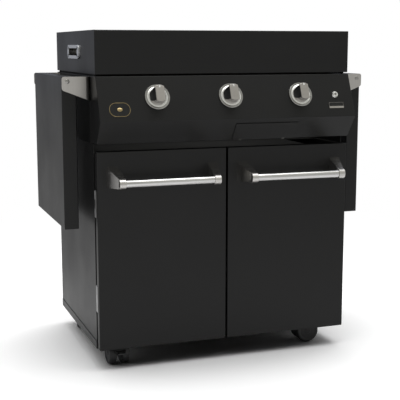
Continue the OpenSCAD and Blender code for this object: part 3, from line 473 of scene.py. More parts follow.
# %% Give every part its finish
FINISHES = {
    "black_paint": black_paint, "seasoned_steel": seasoned, "bare_steel": zinc_skin,
    "stainless": bracket_steel, "polished_steel": bar_steel, "brass": brass, "rubber": rubber,
    "wheel_plastic": tread, "caster_plastic": nylon, "module_plastic": abs_case,
    "magnet": ferrite, "ceramic": glaze,
}
slot_of = {row["node"]: row["material_slot"] for row in frame["record"]["subparts"]}
for name, part in PARTS.items():
    part.data.materials.clear()
    part.data.materials.append(FINISHES[slot_of[name]])
for name in ("firebox", "base_panel", "cross_rail", "left_door_liner", "right_door_liner"):
    PARTS[name].data.materials[0] = inner_paint
# The deck takes the lighter grey, painted light for the gap over the doors.
PARTS["top_deck"].data.materials[0] = deck_grey_painted_light
print("finishes in use", len({slot_of[n] for n in PARTS}))

# %% [markdown]
# ## Bench tools
#
# Modelling by hand is always the same round: add a primitive, enter edit mode, select faces or
# edges, run an operator. A few short functions do the round's fixed steps. Selections are made by
# a test on a face's or an edge's place, since an operator works on whatever is selected.


# %% Start, select, leave
def alone(obj):
    """Selects this object and nothing else."""
    bpy.ops.object.select_all(action="DESELECT")
    obj.select_set(True)
    bpy.context.view_layer.objects.active = obj


def start(kind, name, **settings):
    """Adds a primitive by its operator and names it."""
    bpy.ops.object.select_all(action="DESELECT")
    getattr(bpy.ops.mesh, f"primitive_{kind}_add")(**settings)
    obj = bpy.context.object
    obj.name = obj.data.name = name
    return obj


def pick(obj, kind, test=lambda element: True):
    """In edit mode, selects the elements of one kind that pass the test, or all of them."""
    if obj.mode != "EDIT":
        alone(obj)
        bpy.ops.object.mode_set(mode="EDIT")
    bpy.ops.mesh.select_mode(type=kind)
    bpy.ops.mesh.select_all(action="DESELECT")
    shape = bmesh.from_edit_mesh(obj.data)
    found = [e for e in {"FACE": shape.faces, "EDGE": shape.edges, "VERT": shape.verts}[kind] if test(e)]
    for element in found:
        element.select_set(True)
    shape.select_flush_mode()
    bmesh.update_edit_mesh(obj.data)
    return len(found)


def leave(obj):
    """Back to object mode."""
    bpy.ops.object.mode_set(mode="OBJECT")
    return obj


print("selections by", pick.__name__)


# %% Place and copy
def settle(obj):
    """Moves an object's place, turn and size into its mesh."""
    alone(obj)
    bpy.ops.object.transform_apply(location=True, rotation=True, scale=True)
    return obj


def put(obj, where):
    """Places an object by a matrix and settles it."""
    obj.matrix_world = where
    return settle(obj)


def stand(at, degrees=90, axis="X"):
    """The matrix that turns about an axis and then moves to a place."""
    return Matrix.Translation(at) @ Matrix.Rotation(math.radians(degrees), 4, axis)


def twin(obj, name, where=None):
    """A copy with a mesh of its own."""
    alone(obj)
    bpy.ops.object.duplicate()
    made = bpy.context.object
    made.name = made.data.name = name
    return put(made, where) if where is not None else made


def joined(objects, name):
    """One object out of several."""
    alone(objects[0])
    for other in objects:
        other.select_set(True)
    bpy.ops.object.join()
    made = bpy.context.object
    made.name = made.data.name = name
    return made


def copies(pattern, places, name):
    """Copies of a pattern, one in each place, as one object. The pattern itself goes."""
    made = joined([twin(pattern, name, place) for place in places], name)
    bpy.data.objects.remove(pattern)
    return made


def faces_out(obj):
    """Points all faces outwards."""
    pick(obj, "FACE")
    bpy.ops.mesh.normals_make_consistent(inside=False)
    return leave(obj)


def flipped(obj, axis, at=0.0):
    """A mirrored copy across the plane that stands square to X or Y at a distance."""
    along = Vector((axis == "X", axis == "Y", 0))
    mirror = Matrix.Translation(along * at) @ Matrix.Scale(-1, 4, along) @ Matrix.Translation(-along * at)
    return faces_out(twin(obj, obj.name, mirror))


print("copies by", copies.__name__, "and", flipped.__name__)


# %% Shape and round
def block(name, low, high):
    """A box between two corners, from the cube primitive."""
    low, high = Vector(low), Vector(high)
    obj = start("cube", name, size=1, location=(low + high) / 2)
    obj.scale = high - low
    return settle(obj)


def change(obj, kind, **settings):
    """Adds a modifier and applies it."""
    alone(obj)
    extra = obj.modifiers.new(kind.lower(), kind)
    for name, value in settings.items():
        setattr(extra, name, value)
    bpy.ops.object.modifier_apply(modifier=extra.name)
    return obj


def rounded(obj, width, segments, angle=30):
    """Rounds the edges that turn by more than an angle; width is in millimetres."""
    return change(obj, "BEVEL", width=width * MM, segments=segments, angle_limit=math.radians(angle))


def draw_out(x, y, z):
    """In edit mode, extrudes what is selected by a distance along each axis."""
    bpy.ops.mesh.extrude_region_move(TRANSFORM_OT_translate={"value": (x, y, z)})


def round_picked(obj, radius, segments, test, kind="EDGE", clamp=False):
    """In edit mode, rounds the edges or corners that pass the test; radius is in millimetres."""
    pick(obj, kind, test)
    affect = "VERTICES" if kind == "VERT" else "EDGES"
    bpy.ops.mesh.bevel(offset=radius * MM, segments=segments, affect=affect, clamp_overlap=clamp)
    return obj


def turned(name, outline, steps=64):
    """A round piece as from a lathe: its outline is (radius, height) in millimetres, spun round Z."""
    obj = start("circle", name, vertices=len(outline), radius=1)
    for point, (radius, height) in zip(obj.data.vertices, outline):
        point.co = (radius * MM, 0, height * MM)
    pick(obj, "VERT")
    bpy.ops.mesh.spin(steps=steps, angle=2 * math.pi, center=(0, 0, 0), axis=(0, 0, 1))
    bpy.ops.mesh.select_all(action="SELECT")
    bpy.ops.mesh.remove_doubles(threshold=1e-6)
    bpy.ops.mesh.dissolve_degenerate(threshold=1e-6)
    return faces_out(obj)


print("round pieces by", turned.__name__)


# %% Finish a piece
def two_finishes(piece, main, other, is_other):
    """Gives a piece two finishes; the other one goes to the faces that pass the test."""
    for finish_of in (main, other):
        piece.data.materials.append(finish_of)
    for face in piece.data.polygons:
        face.material_index = int(is_other(face))
    return piece


def dress(obj, material, body, slot, stands_for=(), smooth=30):
    """Gives a finished piece its smooth shading, its finish and its body."""
    alone(obj)
    bpy.ops.object.shade_smooth_by_angle(angle=math.radians(smooth))
    change(obj, "WEIGHTED_NORMAL", keep_sharp=True)
    if material is not None:
        obj.data.materials.clear()
        obj.data.materials.append(material)
    if stands_for:
        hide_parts(*stands_for)
    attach(obj, body)
    return obj


print("pieces ride by", dress.__name__)

# %% [markdown]
# ## Folded sheet
#
# The engineering parts have the right flats and cut-outs but perfectly sharp corners, which no
# press brake can fold. Real folds are round, about one and a half sheet thicknesses, and even a
# cut edge is broken by the paint. Those small rounds are what catches a thin line of light along
# every corner. Modelling each sheet again would only repeat its flats, so a copy is taken, merged
# into whole faces, and bevelled: wide on the folds, narrow on cut edges.


# %% Round the folds of a sheet part
def folded(node, name, fold, is_fold, cut=0.35):
    """A copy of a sheet part with round folds. Radii are in millimetres; is_fold tests an edge."""
    obj = twin(PARTS[node], name)
    for key in list(obj.keys()):
        del obj[key]
    obj.parent = None
    obj.matrix_world = Matrix.Identity(4)
    pick(obj, "VERT")
    bpy.ops.mesh.remove_doubles(threshold=2e-6)
    bpy.ops.mesh.dissolve_limited(angle_limit=math.radians(1))

    def corner(edge, degrees):
        return len(edge.link_faces) == 2 and edge.calc_face_angle(0) > math.radians(degrees)

    folds = pick(obj, "EDGE", lambda e: corner(e, 25) and is_fold(e))
    if folds:
        bpy.ops.mesh.bevel(offset=fold * MM, segments=3, affect="EDGES", clamp_overlap=False)
    cuts = pick(obj, "EDGE", lambda e: corner(e, 50)) if cut else 0
    if cuts:
        bpy.ops.mesh.bevel(offset=cut * MM, segments=1, affect="EDGES", clamp_overlap=True)
    leave(obj)
    paint = PARTS[node].data.materials[0]
    dress(obj, paint, PARTS[node]["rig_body"], slot_of[node], (node,), smooth=32)
    print(name, folds, "folds", cuts, "cut edges", len(obj.data.polygons), "faces")


def on_box(node, margin=0.05):
    """A test for edges that lie on two outer planes of a part: its outside corners."""
    planes = [(axis, corner[axis]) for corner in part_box(node) for axis in range(3)]

    def test(edge):
        on = [all(abs(v.co[axis] - at) < margin * MM for v in edge.verts) for axis, at in planes]
        return sum(on) >= 2

    return test


print("folds by", folded.__name__)

# %% Lid, doors, shelves and deck
folded("lid_shell", "lid_cover", 2.2, on_box("lid_shell"))
for side in ("left", "right"):
    for node, name, fold in (
        ("door_panel", "door_skin", 2.0), ("shelf", "shelf_pan", 2.4), ("side_panel", "cabinet_side", 1.4),
    ):
        folded(f"{side}_{node}", f"{side}_{name}", fold, on_box(f"{side}_{node}"))


# %% Console
def console_fold(edge):
    """The long bends: the ridge and the top and bottom edges of the console."""
    start_point, end_point = (v.co for v in edge.verts)
    long = abs(start_point.x - end_point.x) > 300 * MM
    return long and (start_point.y + end_point.y) / 2 < front_y + 20 * MM


folded("console_panel", "console_sheet", 1.4, console_fold, cut=0)

# %% [markdown]
# ## Knobs
#
# Each knob is one casting on a round foot: a thick bar across it with a brushed cap, and two
# black flanks that lean inwards so that fingers don't slip. It is turned as a full round first
# and then sawn off at a slant on both sides, which is how a pattern maker would start too. The
# narrow groove under the cap is turned with the rest, and its walls are coloured black as
# painted shade, a dark line under the cap's overhang. A short white mark at the cap's upper
# edge shows where the knob points.


# %% One knob
def bright_rim(ring, beyond, within=1.0):
    """Gives the slanting faces between two radii the cut finish, and the rest the satin plate."""
    def is_cut(face):
        return 0.2 < face.normal.z < 0.995 and beyond < face.center.xy.length < within

    return two_finishes(ring, chrome, cut_chrome, is_cut)


def knob(name):
    """A knob that stands on Z, with its bar along Y and a blind bore for the valve stem."""
    bore, bore_end, lean = 4.05, 20.3, math.radians(18)
    half_w, top, cap_low, groove_low = 13.2 * MM, 36 * MM, 33.4 * MM, 28 * MM
    foot = turned(
        "foot", [(bore, 3.5), (27.4, 3.5), (27.6, 3.7), (27.6, 4.5), (25.8, 5.0), (bore, 5.0)], 96
    )
    grip = turned(
        "grip",
        [(bore, 3.5), (25.4, 3.5), (25.4, 28), (24.3, 28.6), (24.3, 33), (25.2, 33.4), (25.2, 36), (0, 36),
         (0, bore_end), (bore, bore_end)], 96,
    )
    for way in (1, -1):
        pick(grip, "FACE")
        bpy.ops.mesh.bisect(
            plane_co=(half_w * way, 0, top), plane_no=(math.cos(lean) * way, 0, math.sin(lean)),
            use_fill=True, clear_outer=True,
        )
    pick(grip, "FACE", lambda f: abs(f.normal.x) > 0.9 and f.calc_area() > 3e-4)
    bpy.ops.mesh.bisect(plane_co=(0, 0, cap_low), plane_no=(0, 0, 1))

    def on_cap(edge):
        ends = [v.co for v in edge.verts]
        around = (ends[0].xy + ends[1].xy).length > 8 * MM
        return edge.calc_face_angle(0) > 0.5 and min(p.z for p in ends) > top - 0.1 * MM and around

    leave(round_picked(grip, 1.5, 4, on_cap, clamp=True))

    def black_flank_or_painted_shade(face):
        flank = abs(face.normal.x) > 0.9 and face.center.z < cap_low
        # The groove's walls are coloured black as painted shade: a dark line under the cap's overhang.
        groove = groove_low < face.center.z < cap_low - 0.2 * MM and abs(face.normal.z) < 0.5
        return flank or groove

    two_finishes(grip, grip_zinc, abs_case, black_flank_or_painted_shade)
    return joined([grip, bright_rim(foot, 25.7 * MM)], name)


print("knobs come from", knob.__name__)


# %% Knobs in their places
def upright(edge):
    """Whether an edge runs along Z."""
    return abs(edge.verts[0].co.z - edge.verts[1].co.z) > 0.3 * MM


knob_pattern = knob("knob_pattern")
mark_pattern = block("mark_pattern", (-2.1 * MM, 17.4 * MM, 35.4 * MM), (2.1 * MM, 24.0 * MM, 36.1 * MM))
leave(round_picked(mark_pattern, 1.0, 3, upright))
KNOB_DOWN = 66 * MM
knob_x = {side: sum(p.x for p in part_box(f"{side}_valve_stem")) / 2 for side in ("left", "middle", "right")}
for side, x in knob_x.items():
    place, body = on_console(x, KNOB_DOWN), f"dial_{side}"
    casting = twin(knob_pattern, f"{side}_knob_casting", place)
    dress(casting, None, body, "stainless", (f"{side}_knob",), 40)
    dress(twin(mark_pattern, f"{side}_index_mark", place), mark_paint, body, "stainless", smooth=32)
for spare in (knob_pattern, mark_pattern):
    bpy.data.objects.remove(spare)
print("knobs", len(knob_x))

# %% [markdown]
# ## Bezels and igniter button
#
# Behind each knob lies a ring with a flat satin band and, inside it, a low bead whose slope is
# cut bright with a diamond tool after plating. With the knob's own cut rim it makes one white
# line round the knob. The igniter button has a small collar of the same kind and a recess for
# the fingertip. All of these are turned parts, and their slopes take the cut finish.

# %% Bezels and button
band = [(28, 0), (38, 0), (38, 4.0), (37.2, 4.7), (31.6, 4.7)]
bead = [(31.2, 4.2), (30.8, 4.3), (28.2, 5.0), (28, 4.8)]
ring = bright_rim(turned("ring", band + bead, 128), 0, 31 * MM)
rings = copies(ring, [on_console(x, KNOB_DOWN) for x in knob_x.values()], "rings")
button_place = on_console(sum(p.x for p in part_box("igniter_button")) / 2, 68 * MM)
collar = turned("collar", [(8.3, 0), (10.4, 0), (10.4, 1.6), (9.2, 3.5), (8.7, 3.5), (8.3, 3)], 96)
put(bright_rim(collar, 0), button_place)
dress(joined([rings, collar], "bezel_rings"), None, "cart", "stainless", ("control_bezels",), 25)
button = turned(
    "igniter_cap",
    [(0, -9.7), (8, -9.7), (8, 4.8), (7.4, 5.7), (6.4, 6), (4.6, 6), (4.0, 5.4), (3.6, 3.6), (0, 3.4)], 96,
)
two_finishes(button, cut_chrome, machined_steel, lambda f: f.center.xy.length < 3.9 * MM and f.center.z > 0)
dress(put(button, button_place), None, "button", "stainless", ("igniter_button",))
print("rings", len(knob_x) + 1)

# %% [markdown]
# ## Door handles
#
# A handle is a stainless tube held by two zinc castings. Each casting is a wedge that grows from
# a short ring round the tube's end to a tall foot on the door. The wedge starts as a short
# cylinder round the tube: it is cut off at the tube's middle, its back is spread into the foot,
# and its edges are rounded. The left casting is the right one's mirror image.


# %% Handle post
def post(name, bar_y, bar_z):
    """The right end of a handle whose middle is at X = 0."""
    near, far, across, foot_w, foot_h = 135 * MM, 155 * MM, 29.1, 34, 62
    middle = ((near + far) / 2, bar_y, bar_z)
    wedge = start(
        "cylinder", name, vertices=64, radius=14.6 * MM, depth=far - near,
        rotation=(0, math.radians(90), 0), location=middle,
    )
    settle(wedge)
    pick(wedge, "FACE")
    bpy.ops.mesh.bisect(plane_co=(0, bar_y, 0), plane_no=(0, 1, 0))
    pick(wedge, "VERT", lambda v: v.co.y > bar_y + 0.1 * MM)
    spread = (foot_w / 20, 0, foot_h / across)
    bpy.ops.transform.resize(value=spread, center_override=(middle[0], front_y, bar_z))
    bpy.ops.transform.translate(value=(12.5 * MM, 0, 12 * MM))
    pick(wedge, "FACE")
    bpy.ops.mesh.dissolve_limited(angle_limit=math.radians(0.5))

    def off_the_door(edge):
        return edge.calc_face_angle(0) > 0.5 and max(v.co.y for v in edge.verts) < front_y - 0.1 * MM

    leave(round_picked(wedge, 1.4, 3, off_the_door, clamp=True))
    cup = turned("cup", [(12.05, 0.8), (14.75, 0.8), (14.75, 19.0), (13.8, 20), (12.05, 20)], 96)
    put(cup, stand((far, bar_y, bar_z), -90, "Y"))
    wedge.data.materials.append(cast_chrome)
    cup.data.materials.append(ring_steel)
    return joined([wedge, cup], name)


print("posts come from", post.__name__)

# %% Handles in their places
middle_of = {side: sum(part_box(f"{side}_handle_bar"), Vector()) / 2 for side in ("left", "right")}
low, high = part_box("left_handle_bar")
length, bar_y, bar_z = (high.x - low.x) / MM, middle_of["left"].y, middle_of["left"].z
tube = [(0, 0), (11.6, 0), (12, 0.4), (12, length - 0.4), (11.6, length), (0, length)]
bar = put(turned("bar_pattern", tube, 128), stand((-length / 2 * MM, bar_y, bar_z), 90, "Y"))
right_end = post("post", bar_y, bar_z)
castings = joined([flipped(right_end, "X"), right_end], "castings_pattern")
for side, middle in middle_of.items():
    place, body = Matrix.Translation((middle.x, 0, 0)), f"door_{side}"
    tube = twin(bar, f"{side}_handle_tube", place)
    dress(tube, bar_steel, body, "polished_steel", (f"{side}_handle_bar",))
    ends = twin(castings, f"{side}_handle_castings", place)
    dress(ends, None, body, "stainless", (f"{side}_handle_posts",), 15)
for spare in (bar, castings):
    bpy.data.objects.remove(spare)
print("handles", len(middle_of))

# %% [markdown]
# ## Lid pulls
#
# The lid is lifted by two pulls let into its sides: a flat frame with round ends and a finger
# pocket pressed deep into the lid. It is one pressing, so it is modelled as one: a round disc is
# stretched to the frame, and both faces are inset and pushed in, the outer one for the pocket's
# mouth, the inner one for the pocket's back. Only the frame is blasted satin; the pocket keeps
# the darker plate.


# %% Lid pulls
def is_near(value, level):
    """Whether two heights are the same, give or take a hundredth of a millimetre."""
    return abs(value - level) < 0.01 * MM


def lid_pull(name):
    """A pull that faces Z, its length along Y."""
    straight, bulge, proud, depth, wall = 68 * MM, 12 / 21, 4.5 * MM, 24 * MM, 1.5 * MM
    whole_l, mouth_l, back_l = 160, 120, 123
    pull = start("cylinder", name, vertices=96, radius=21 * MM, depth=proud, location=(0, 0, proud / 2))
    settle(pull)
    for way in (1, -1):
        pick(pull, "VERT", lambda v: v.co.y * way > 0.01 * MM)
        bpy.ops.transform.resize(value=(1, bulge, 1), center_override=(0, 0, 0))
        bpy.ops.transform.translate(value=(0, straight * way, 0))
    for way, inset, length, push in ((-1, 8.5, back_l, depth), (1, 10, mouth_l, depth + proud - wall)):
        level = proud if way > 0 else 0
        pick(pull, "FACE", lambda f: f.normal.z * way > 0.9 and is_near(f.calc_center_median().z, level))
        bpy.ops.mesh.inset(thickness=inset * MM)
        bpy.ops.transform.resize(value=(1, length / (whole_l - 2 * inset), 1))
        draw_out(0, 0, -push)
    for level, radius, segments in ((proud, 1.8, 4), (wall - depth, 7, 5)):
        def on_level(edge):
            return all(is_near(v.co.z, level) for v in edge.verts) and edge.calc_face_angle(0) > 0.6

        round_picked(pull, radius, segments, on_level, clamp=True)
    return two_finishes(leave(pull), pull_steel, chrome, lambda f: f.center.z < wall)


lid_low, lid_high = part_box("lid_shell")
middle = (lid_low + lid_high) / 2
right_pull = put(lid_pull("pull"), stand((side_x, middle.y, middle.z), 90, "Y"))
pulls = joined([flipped(right_pull, "X"), right_pull], "lid_pull_pressings")
dress(pulls, None, "lid", "stainless", ("lid_pulls",), 28)
print("pulls", 2)

# %% [markdown]
# ## Shelf brackets
#
# Each shelf hangs between two stainless brackets, plates that stand out from the cart with a
# flange folded back along its side. The fold is wide, so the plate darkens softly before it
# reaches the cart. The bracket starts as one flat sheet: the corners are rounded, the flange is
# drawn out of one edge, the fold is bevelled, and only then does the sheet get its thickness.
# The other three are mirror images.


# %% Brackets
def bracket(name, low, high):
    """The front left bracket between two corners."""
    tip_rise, corner_r, fold_r, thick = 32 * MM, 6.5, 13, 2.5 * MM
    plate = start("plane", name, size=1, rotation=(math.radians(90), 0, 0))
    plate.scale = (high.x - low.x, high.z - low.z, 1)
    plate.location = ((low.x + high.x) / 2, low.y, (low.z + high.z) / 2)
    settle(plate)
    pick(plate, "VERT", lambda v: v.co.x < low.x + MM and v.co.z < low.z + MM)
    bpy.ops.transform.translate(value=(0, 0, tip_rise))
    round_picked(plate, corner_r, 5, lambda v: v.co.x < low.x + MM, "VERT")
    pick(plate, "EDGE", lambda e: all(v.co.x > high.x - MM for v in e.verts))
    draw_out(0, high.y - low.y, 0)
    round_picked(
        plate, fold_r, 8, lambda e: all(v.co.x > high.x - MM and v.co.y < low.y + MM for v in e.verts)
    )
    faces_out(plate)
    outward = sum((f.normal.y * f.area for f in plate.data.polygons))
    change(plate, "SOLIDIFY", thickness=thick, offset=-1 if outward < 0 else 1, use_even_offset=True)
    return rounded(plate, 0.6, 2, 50)


low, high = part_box("shelf_brackets")
flange_w, bolt_r = 22 * MM, 7 * MM
first = bracket("bracket", low, Vector((-side_x, low.y + flange_w, high.z)))
left_pair = [first, flipped(first, "Y", (low.y + high.y) / 2)]
plates = joined(left_pair + [flipped(one, "X") for one in left_pair], "shelf_bracket_plates")
dress(plates, bracket_steel, "cart", "stainless", ("shelf_brackets",))

bolt_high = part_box("shelf_pivot_bolts")[1]
dome = [(0, 1.8), (3, 1.7), (5, 1.3), (6.4, 0.7), (7, 0), (4, 0), (4, -16), (0, -16)]
places = [
    stand((x, y, bolt_high.z - bolt_r), turn)
    for x in (bolt_r - bolt_high.x, bolt_high.x - bolt_r) for y, turn in ((low.y, 90), (high.y, -90))
]
heads = copies(turned("bolt", dome, 48), places, "pivot_bolt_heads")
dress(heads, machined_steel, "cart", "stainless", ("shelf_pivot_bolts",))
print("brackets", 2 * len(left_pair), "bolts", len(places))

# %% [markdown]
# ## Casters
#
# A twin-wheel caster has two narrow wheels on one axle under a moulded hood, and swings round a
# pin that stands behind the axle. The wheel is turned with a rounded tread and a dished hub. The
# hood starts as a cylinder round the wheels: its lower half is cut away, the shell gets its
# thickness, and the rim is rounded. The front pair's hood is shorter, so that the wheels show,
# with a tongue in the middle whose two ears carry the brake pedal. Each pattern is modelled once
# and then set in its places at each caster's heading.

# %% Wheels
AXLE, TRAIL = 38 * MM, 22 * MM
PEDAL_X, PEDAL_Z = 68 * MM, 48 * MM


def wheel_pair(name):
    """Two wheels and their axle, along Y, in the caster's own place."""
    half = [(4, 11), (9, 11), (11, 9.5), (26, 9.5), (29, 11.5), (33, 12), (36, 10.5), (37.6, 7), (38, 3)]
    tyre = [(radius, -side) for radius, side in half] + half[::-1]
    places = [stand((TRAIL, y * MM, AXLE)) for y in (-20, 20)]
    pair = copies(turned("wheel", tyre, 96), places, "pair")
    axle = turned("axle", [(0, -32), (3.6, -32), (4, -31.6), (4, 31.6), (3.6, 32), (0, 32)], 48)
    return joined([pair, put(axle, stand((TRAIL, 0, AXLE)))], name)


print("wheels come from", wheel_pair.__name__)


# %% Hoods
def shell_arch(width, radius, above):
    """An arch of moulded shell over the wheels, cut off at a height above the axle."""
    arch = start(
        "cylinder", "arch", vertices=96, radius=radius * MM, depth=width * MM,
        rotation=(math.radians(90), 0, 0), location=(TRAIL, 0, AXLE),
    )
    settle(arch)
    pick(arch, "FACE", lambda f: abs(f.normal.y) > 0.9)
    bpy.ops.mesh.delete(type="FACE")
    pick(arch, "FACE")
    bpy.ops.mesh.bisect(plane_co=(0, 0, AXLE + above * MM), plane_no=(0, 0, -1), clear_outer=True)
    leave(arch)
    change(arch, "SOLIDIFY", thickness=2 * MM, offset=-1, use_even_offset=True)
    return rounded(arch, 0.9, 3, 50)


def far_and_level(edge, x):
    """Whether an edge runs along Y beyond a distance."""
    return min(v.co.x for v in edge.verts) > x and abs(edge.verts[0].co.y - edge.verts[1].co.y) > MM


def hood(name, ears):
    """The moulded hood with its neck, web and axle boss, and the ears if it has a pedal."""
    pieces = [shell_arch(66, 41.5, 20 if ears else 4)]
    pieces.append(turned("neck", [(4.1, 42), (13.2, 42), (14, 43), (14, 86.5), (13, 87.5), (4.1, 87.5)]))
    web = block("web", (6 * MM, -6 * MM, 34 * MM), (TRAIL, 6 * MM, 74 * MM))
    pieces.append(rounded(web, 1.2, 2))
    boss = turned("boss", [(4.1, -6), (13, -6), (14, -5), (14, 5), (13, 6), (4.1, 6)])
    pieces.append(put(boss, stand((TRAIL, 0, AXLE))))
    if ears:
        pieces.append(shell_arch(31, 41.3, 4))
        pin = turned("pin", [(0, -13), (2, -13), (2, 13), (0, 13)], 32)
        pieces.append(put(pin, stand((PEDAL_X, 0, PEDAL_Z))))
        ear = block("ear", (60.5 * MM, 12.3 * MM, 44 * MM), (72 * MM, 15.3 * MM, 52 * MM))
        leave(round_picked(ear, 3.8, 6, lambda e: far_and_level(e, 71 * MM)))
        pieces += [flipped(ear, "Y"), ear]
    return joined(pieces, name)


print("hoods come from", hood.__name__)


# %% Brake pedal
def brake_pedal(name):
    """A pedal on its barrel, with four ribs against slipping."""
    x, z = PEDAL_X, PEDAL_Z
    barrel = turned("barrel", [(2.05, -12), (3.4, -12), (3.8, -11.6), (3.8, 11.6), (3.4, 12), (2.05, 12)], 48)
    paddle = block("paddle", (x + 2.6 * MM, -12 * MM, z - 2 * MM), (x + 20 * MM, 12 * MM, z + 1.3 * MM))
    leave(round_picked(paddle, 5, 6, lambda e: far_and_level(e, x + 19 * MM)))
    rib = block("rib", (x + 5.6 * MM, -9 * MM, z + 0.8 * MM), (x + 7.2 * MM, 9 * MM, z + 2 * MM))
    steps = [Matrix.Translation((3.4 * MM * k, 0, 0)) for k in range(4)]
    pieces = [put(barrel, stand((x, 0, z))), rounded(paddle, 0.7, 2, 50)]
    return joined(pieces + [copies(rounded(rib, 0.4, 2), steps, "ribs")], name)


print("pedals come from", brake_pedal.__name__)

# %% Casters in their places
wheels, pedal = wheel_pair("wheels_pattern"), brake_pedal("pedal_pattern")
hoods = {"front": hood("eared_hood_pattern", True), "rear": hood("plain_hood_pattern", False)}
HEADINGS = {"front_left": -90, "front_right": 180, "rear_left": -105, "rear_right": -145}
low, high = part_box("caster_plates")
half_plate = 31 * MM
for corner, heading in HEADINGS.items():
    end, hand = corner.split("_")
    x = low.x + half_plate if hand == "left" else high.x - half_plate
    y = low.y + half_plate if end == "front" else high.y - half_plate
    place = Matrix.Translation((x, y, 0)) @ Matrix.Rotation(math.radians(heading), 4, "Z")
    tyres = twin(wheels, f"{corner}_tyres", place)
    dress(tyres, tread, f"roller_{corner}", "wheel_plastic", (f"{corner}_wheels",))
    top = twin(hoods[end], f"{corner}_hood", place)
    dress(top, nylon, f"swivel_{corner}", "caster_plastic", (f"{corner}_fork",), 35)
    if end == "front":
        foot_brake = twin(pedal, f"{hand}_foot_brake", place)
        dress(foot_brake, nylon, f"brake_{hand}", "caster_plastic", (f"{hand}_brake_pedal",), 35)
for spare in (wheels, pedal, *hoods.values()):
    bpy.data.objects.remove(spare)
print("casters", len(HEADINGS))

# %% [markdown]
# ## Plates on the console
#
# Two small plates are stuck to the console: an oval one with a gold-coloured rim and a plain
# domed boss at the left, and an oblong one at the right with a silver strip along its foot. Both
# are bare. A plate is a thin block whose corners are rounded and whose face is inset and pushed
# in, so that the rim stands proud and the enamel lies in a shallow tray, as on a stamped plate.


# %% Bare plates
def plate(name, width, height, corner, rim, foot):
    """A plate that faces Z; its tray is set in by rim, and by foot along the lower edge."""
    low, high = (-width / 2 * MM, -height / 2 * MM, 0.1 * MM), (width / 2 * MM, height / 2 * MM, 1.5 * MM)
    made = round_picked(block(name, low, high), corner, 12, upright, clamp=True)
    pick(made, "FACE", lambda f: f.normal.z > 0.9)
    bpy.ops.mesh.inset(thickness=rim * MM)
    shorter = 1 - (foot - rim) / (height - 2 * rim)
    bpy.ops.transform.resize(value=(1, shorter, 1), center_override=(0, (height / 2 - rim) * MM, high[2]))
    draw_out(0, 0, -0.6 * MM)
    return leave(made)


for name, x, down, sizes, rim_finish in (
    ("left_console_plate", -345, 102, (62, 42, 20, 1.1, 1.1), gold_rim),
    ("right_console_plate", 346, 103, (49, 18.5, 1.0, 0.5, 6.3), grip_zinc),
):
    made = plate(name, *sizes)
    two_finishes(made, rim_finish, enamel, lambda f: f.normal.z > 0.9 and f.center.z < 1.2 * MM)
    if rim_finish == gold_rim:
        boss = turned("boss", [(0, 2.6), (3, 2.5), (5.5, 2.1), (7, 1.5), (7.3, 0.9), (0, 0.9)], 48)
        boss.data.materials.append(gold_rim)
        made = joined([made, put(boss, Matrix.Diagonal((1.1, 0.8, 1, 1)))], name)
    dress(put(made, on_console(x * MM, down * MM)), None, "cart", "stainless", smooth=32)
print("plates", 2)

# %% [markdown]
# ## Grease drawer
#
# The drawer's front is a flat cover that lies on the console's lower face. Two spring clips hook
# over its lower edge and hold it shut. The cover is a block with its edges rounded; a clip is two
# thin strips at a right angle, one under the cover's edge and one over its face.

# %% Drawer front
low_rise, low_out = 67 * MM, 50 * MM
drawer_x = sum(p.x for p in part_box("drawer_front")) / 2
on_lower_face = (
    Matrix.Translation((drawer_x, front_y - ridge_out, console_high.z - ridge_rise))
    @ Matrix.Rotation(math.pi - math.atan2(low_rise, low_out), 4, "X")
)
half_w, edge = 102 * MM, -82.1
cover = block("cover", (-half_w, edge * MM, 0.3 * MM), (half_w, -18 * MM, 2.3 * MM))
rounded(cover, 0.8, 3).data.materials.append(black_paint)
strips = []
for y, z in (((edge - 3, edge), (0.3, 2.2)), ((edge - 0.3, -78), (2.2, 2.7))):
    strip = block("strip", (-4 * MM, y[0] * MM, z[0] * MM), (4 * MM, y[1] * MM, z[1] * MM))
    rounded(strip, 0.25, 2).data.materials.append(spring_steel)
    strips.append(strip)
places = [Matrix.Translation((x * MM, 0, 0)) for x in (-75, 67)]
clips = copies(joined(strips, "clip"), places, "clips")
front = put(joined([cover, clips], "drawer_cover"), on_lower_face)
dress(front, None, "drawer", "black_paint", ("drawer_front",), 40)
print("drawer front with clips", len(places))

# %% [markdown]
# ## Hinges
#
# A door hangs on two butt hinges. Three knuckles stand in line round one pin: the outer two
# belong to the cabinet, the middle one to the door. Knuckles are turned rings with broken edges,
# leaves are strips with rounded edges, and domed screw heads hold the cabinet's leaf. The right
# door's hinges are mirror images of the left door's.


# %% Screw head
def screw_head(name, radius, height):
    """A domed head with a cross recess, standing on Z."""
    outline = [(0, height), (radius * 0.5, height * 0.92), (radius * 0.85, height * 0.6), (radius, 0), (0, 0)]
    head = turned(name, outline, 32)
    reach, width = radius * 0.55 * MM, radius * 0.55 * 0.22 * MM
    for x, y in ((reach, width), (width, reach)):
        cut = block("cut", (-x, -y, height * 0.45 * MM), (x, y, 2 * height * MM))
        change(head, "BOOLEAN", operation="DIFFERENCE", object=cut, solver="EXACT")
        bpy.data.objects.remove(cut)
    return head


# %% Half a hinge
HINGE_H, PIN_R = 80, 2


def leaf(low, high, corner):
    """A thin leaf between two corners in millimetres, its edges rounded."""
    return rounded(block("leaf", [v * MM for v in low], [v * MM for v in high]), corner, 3)


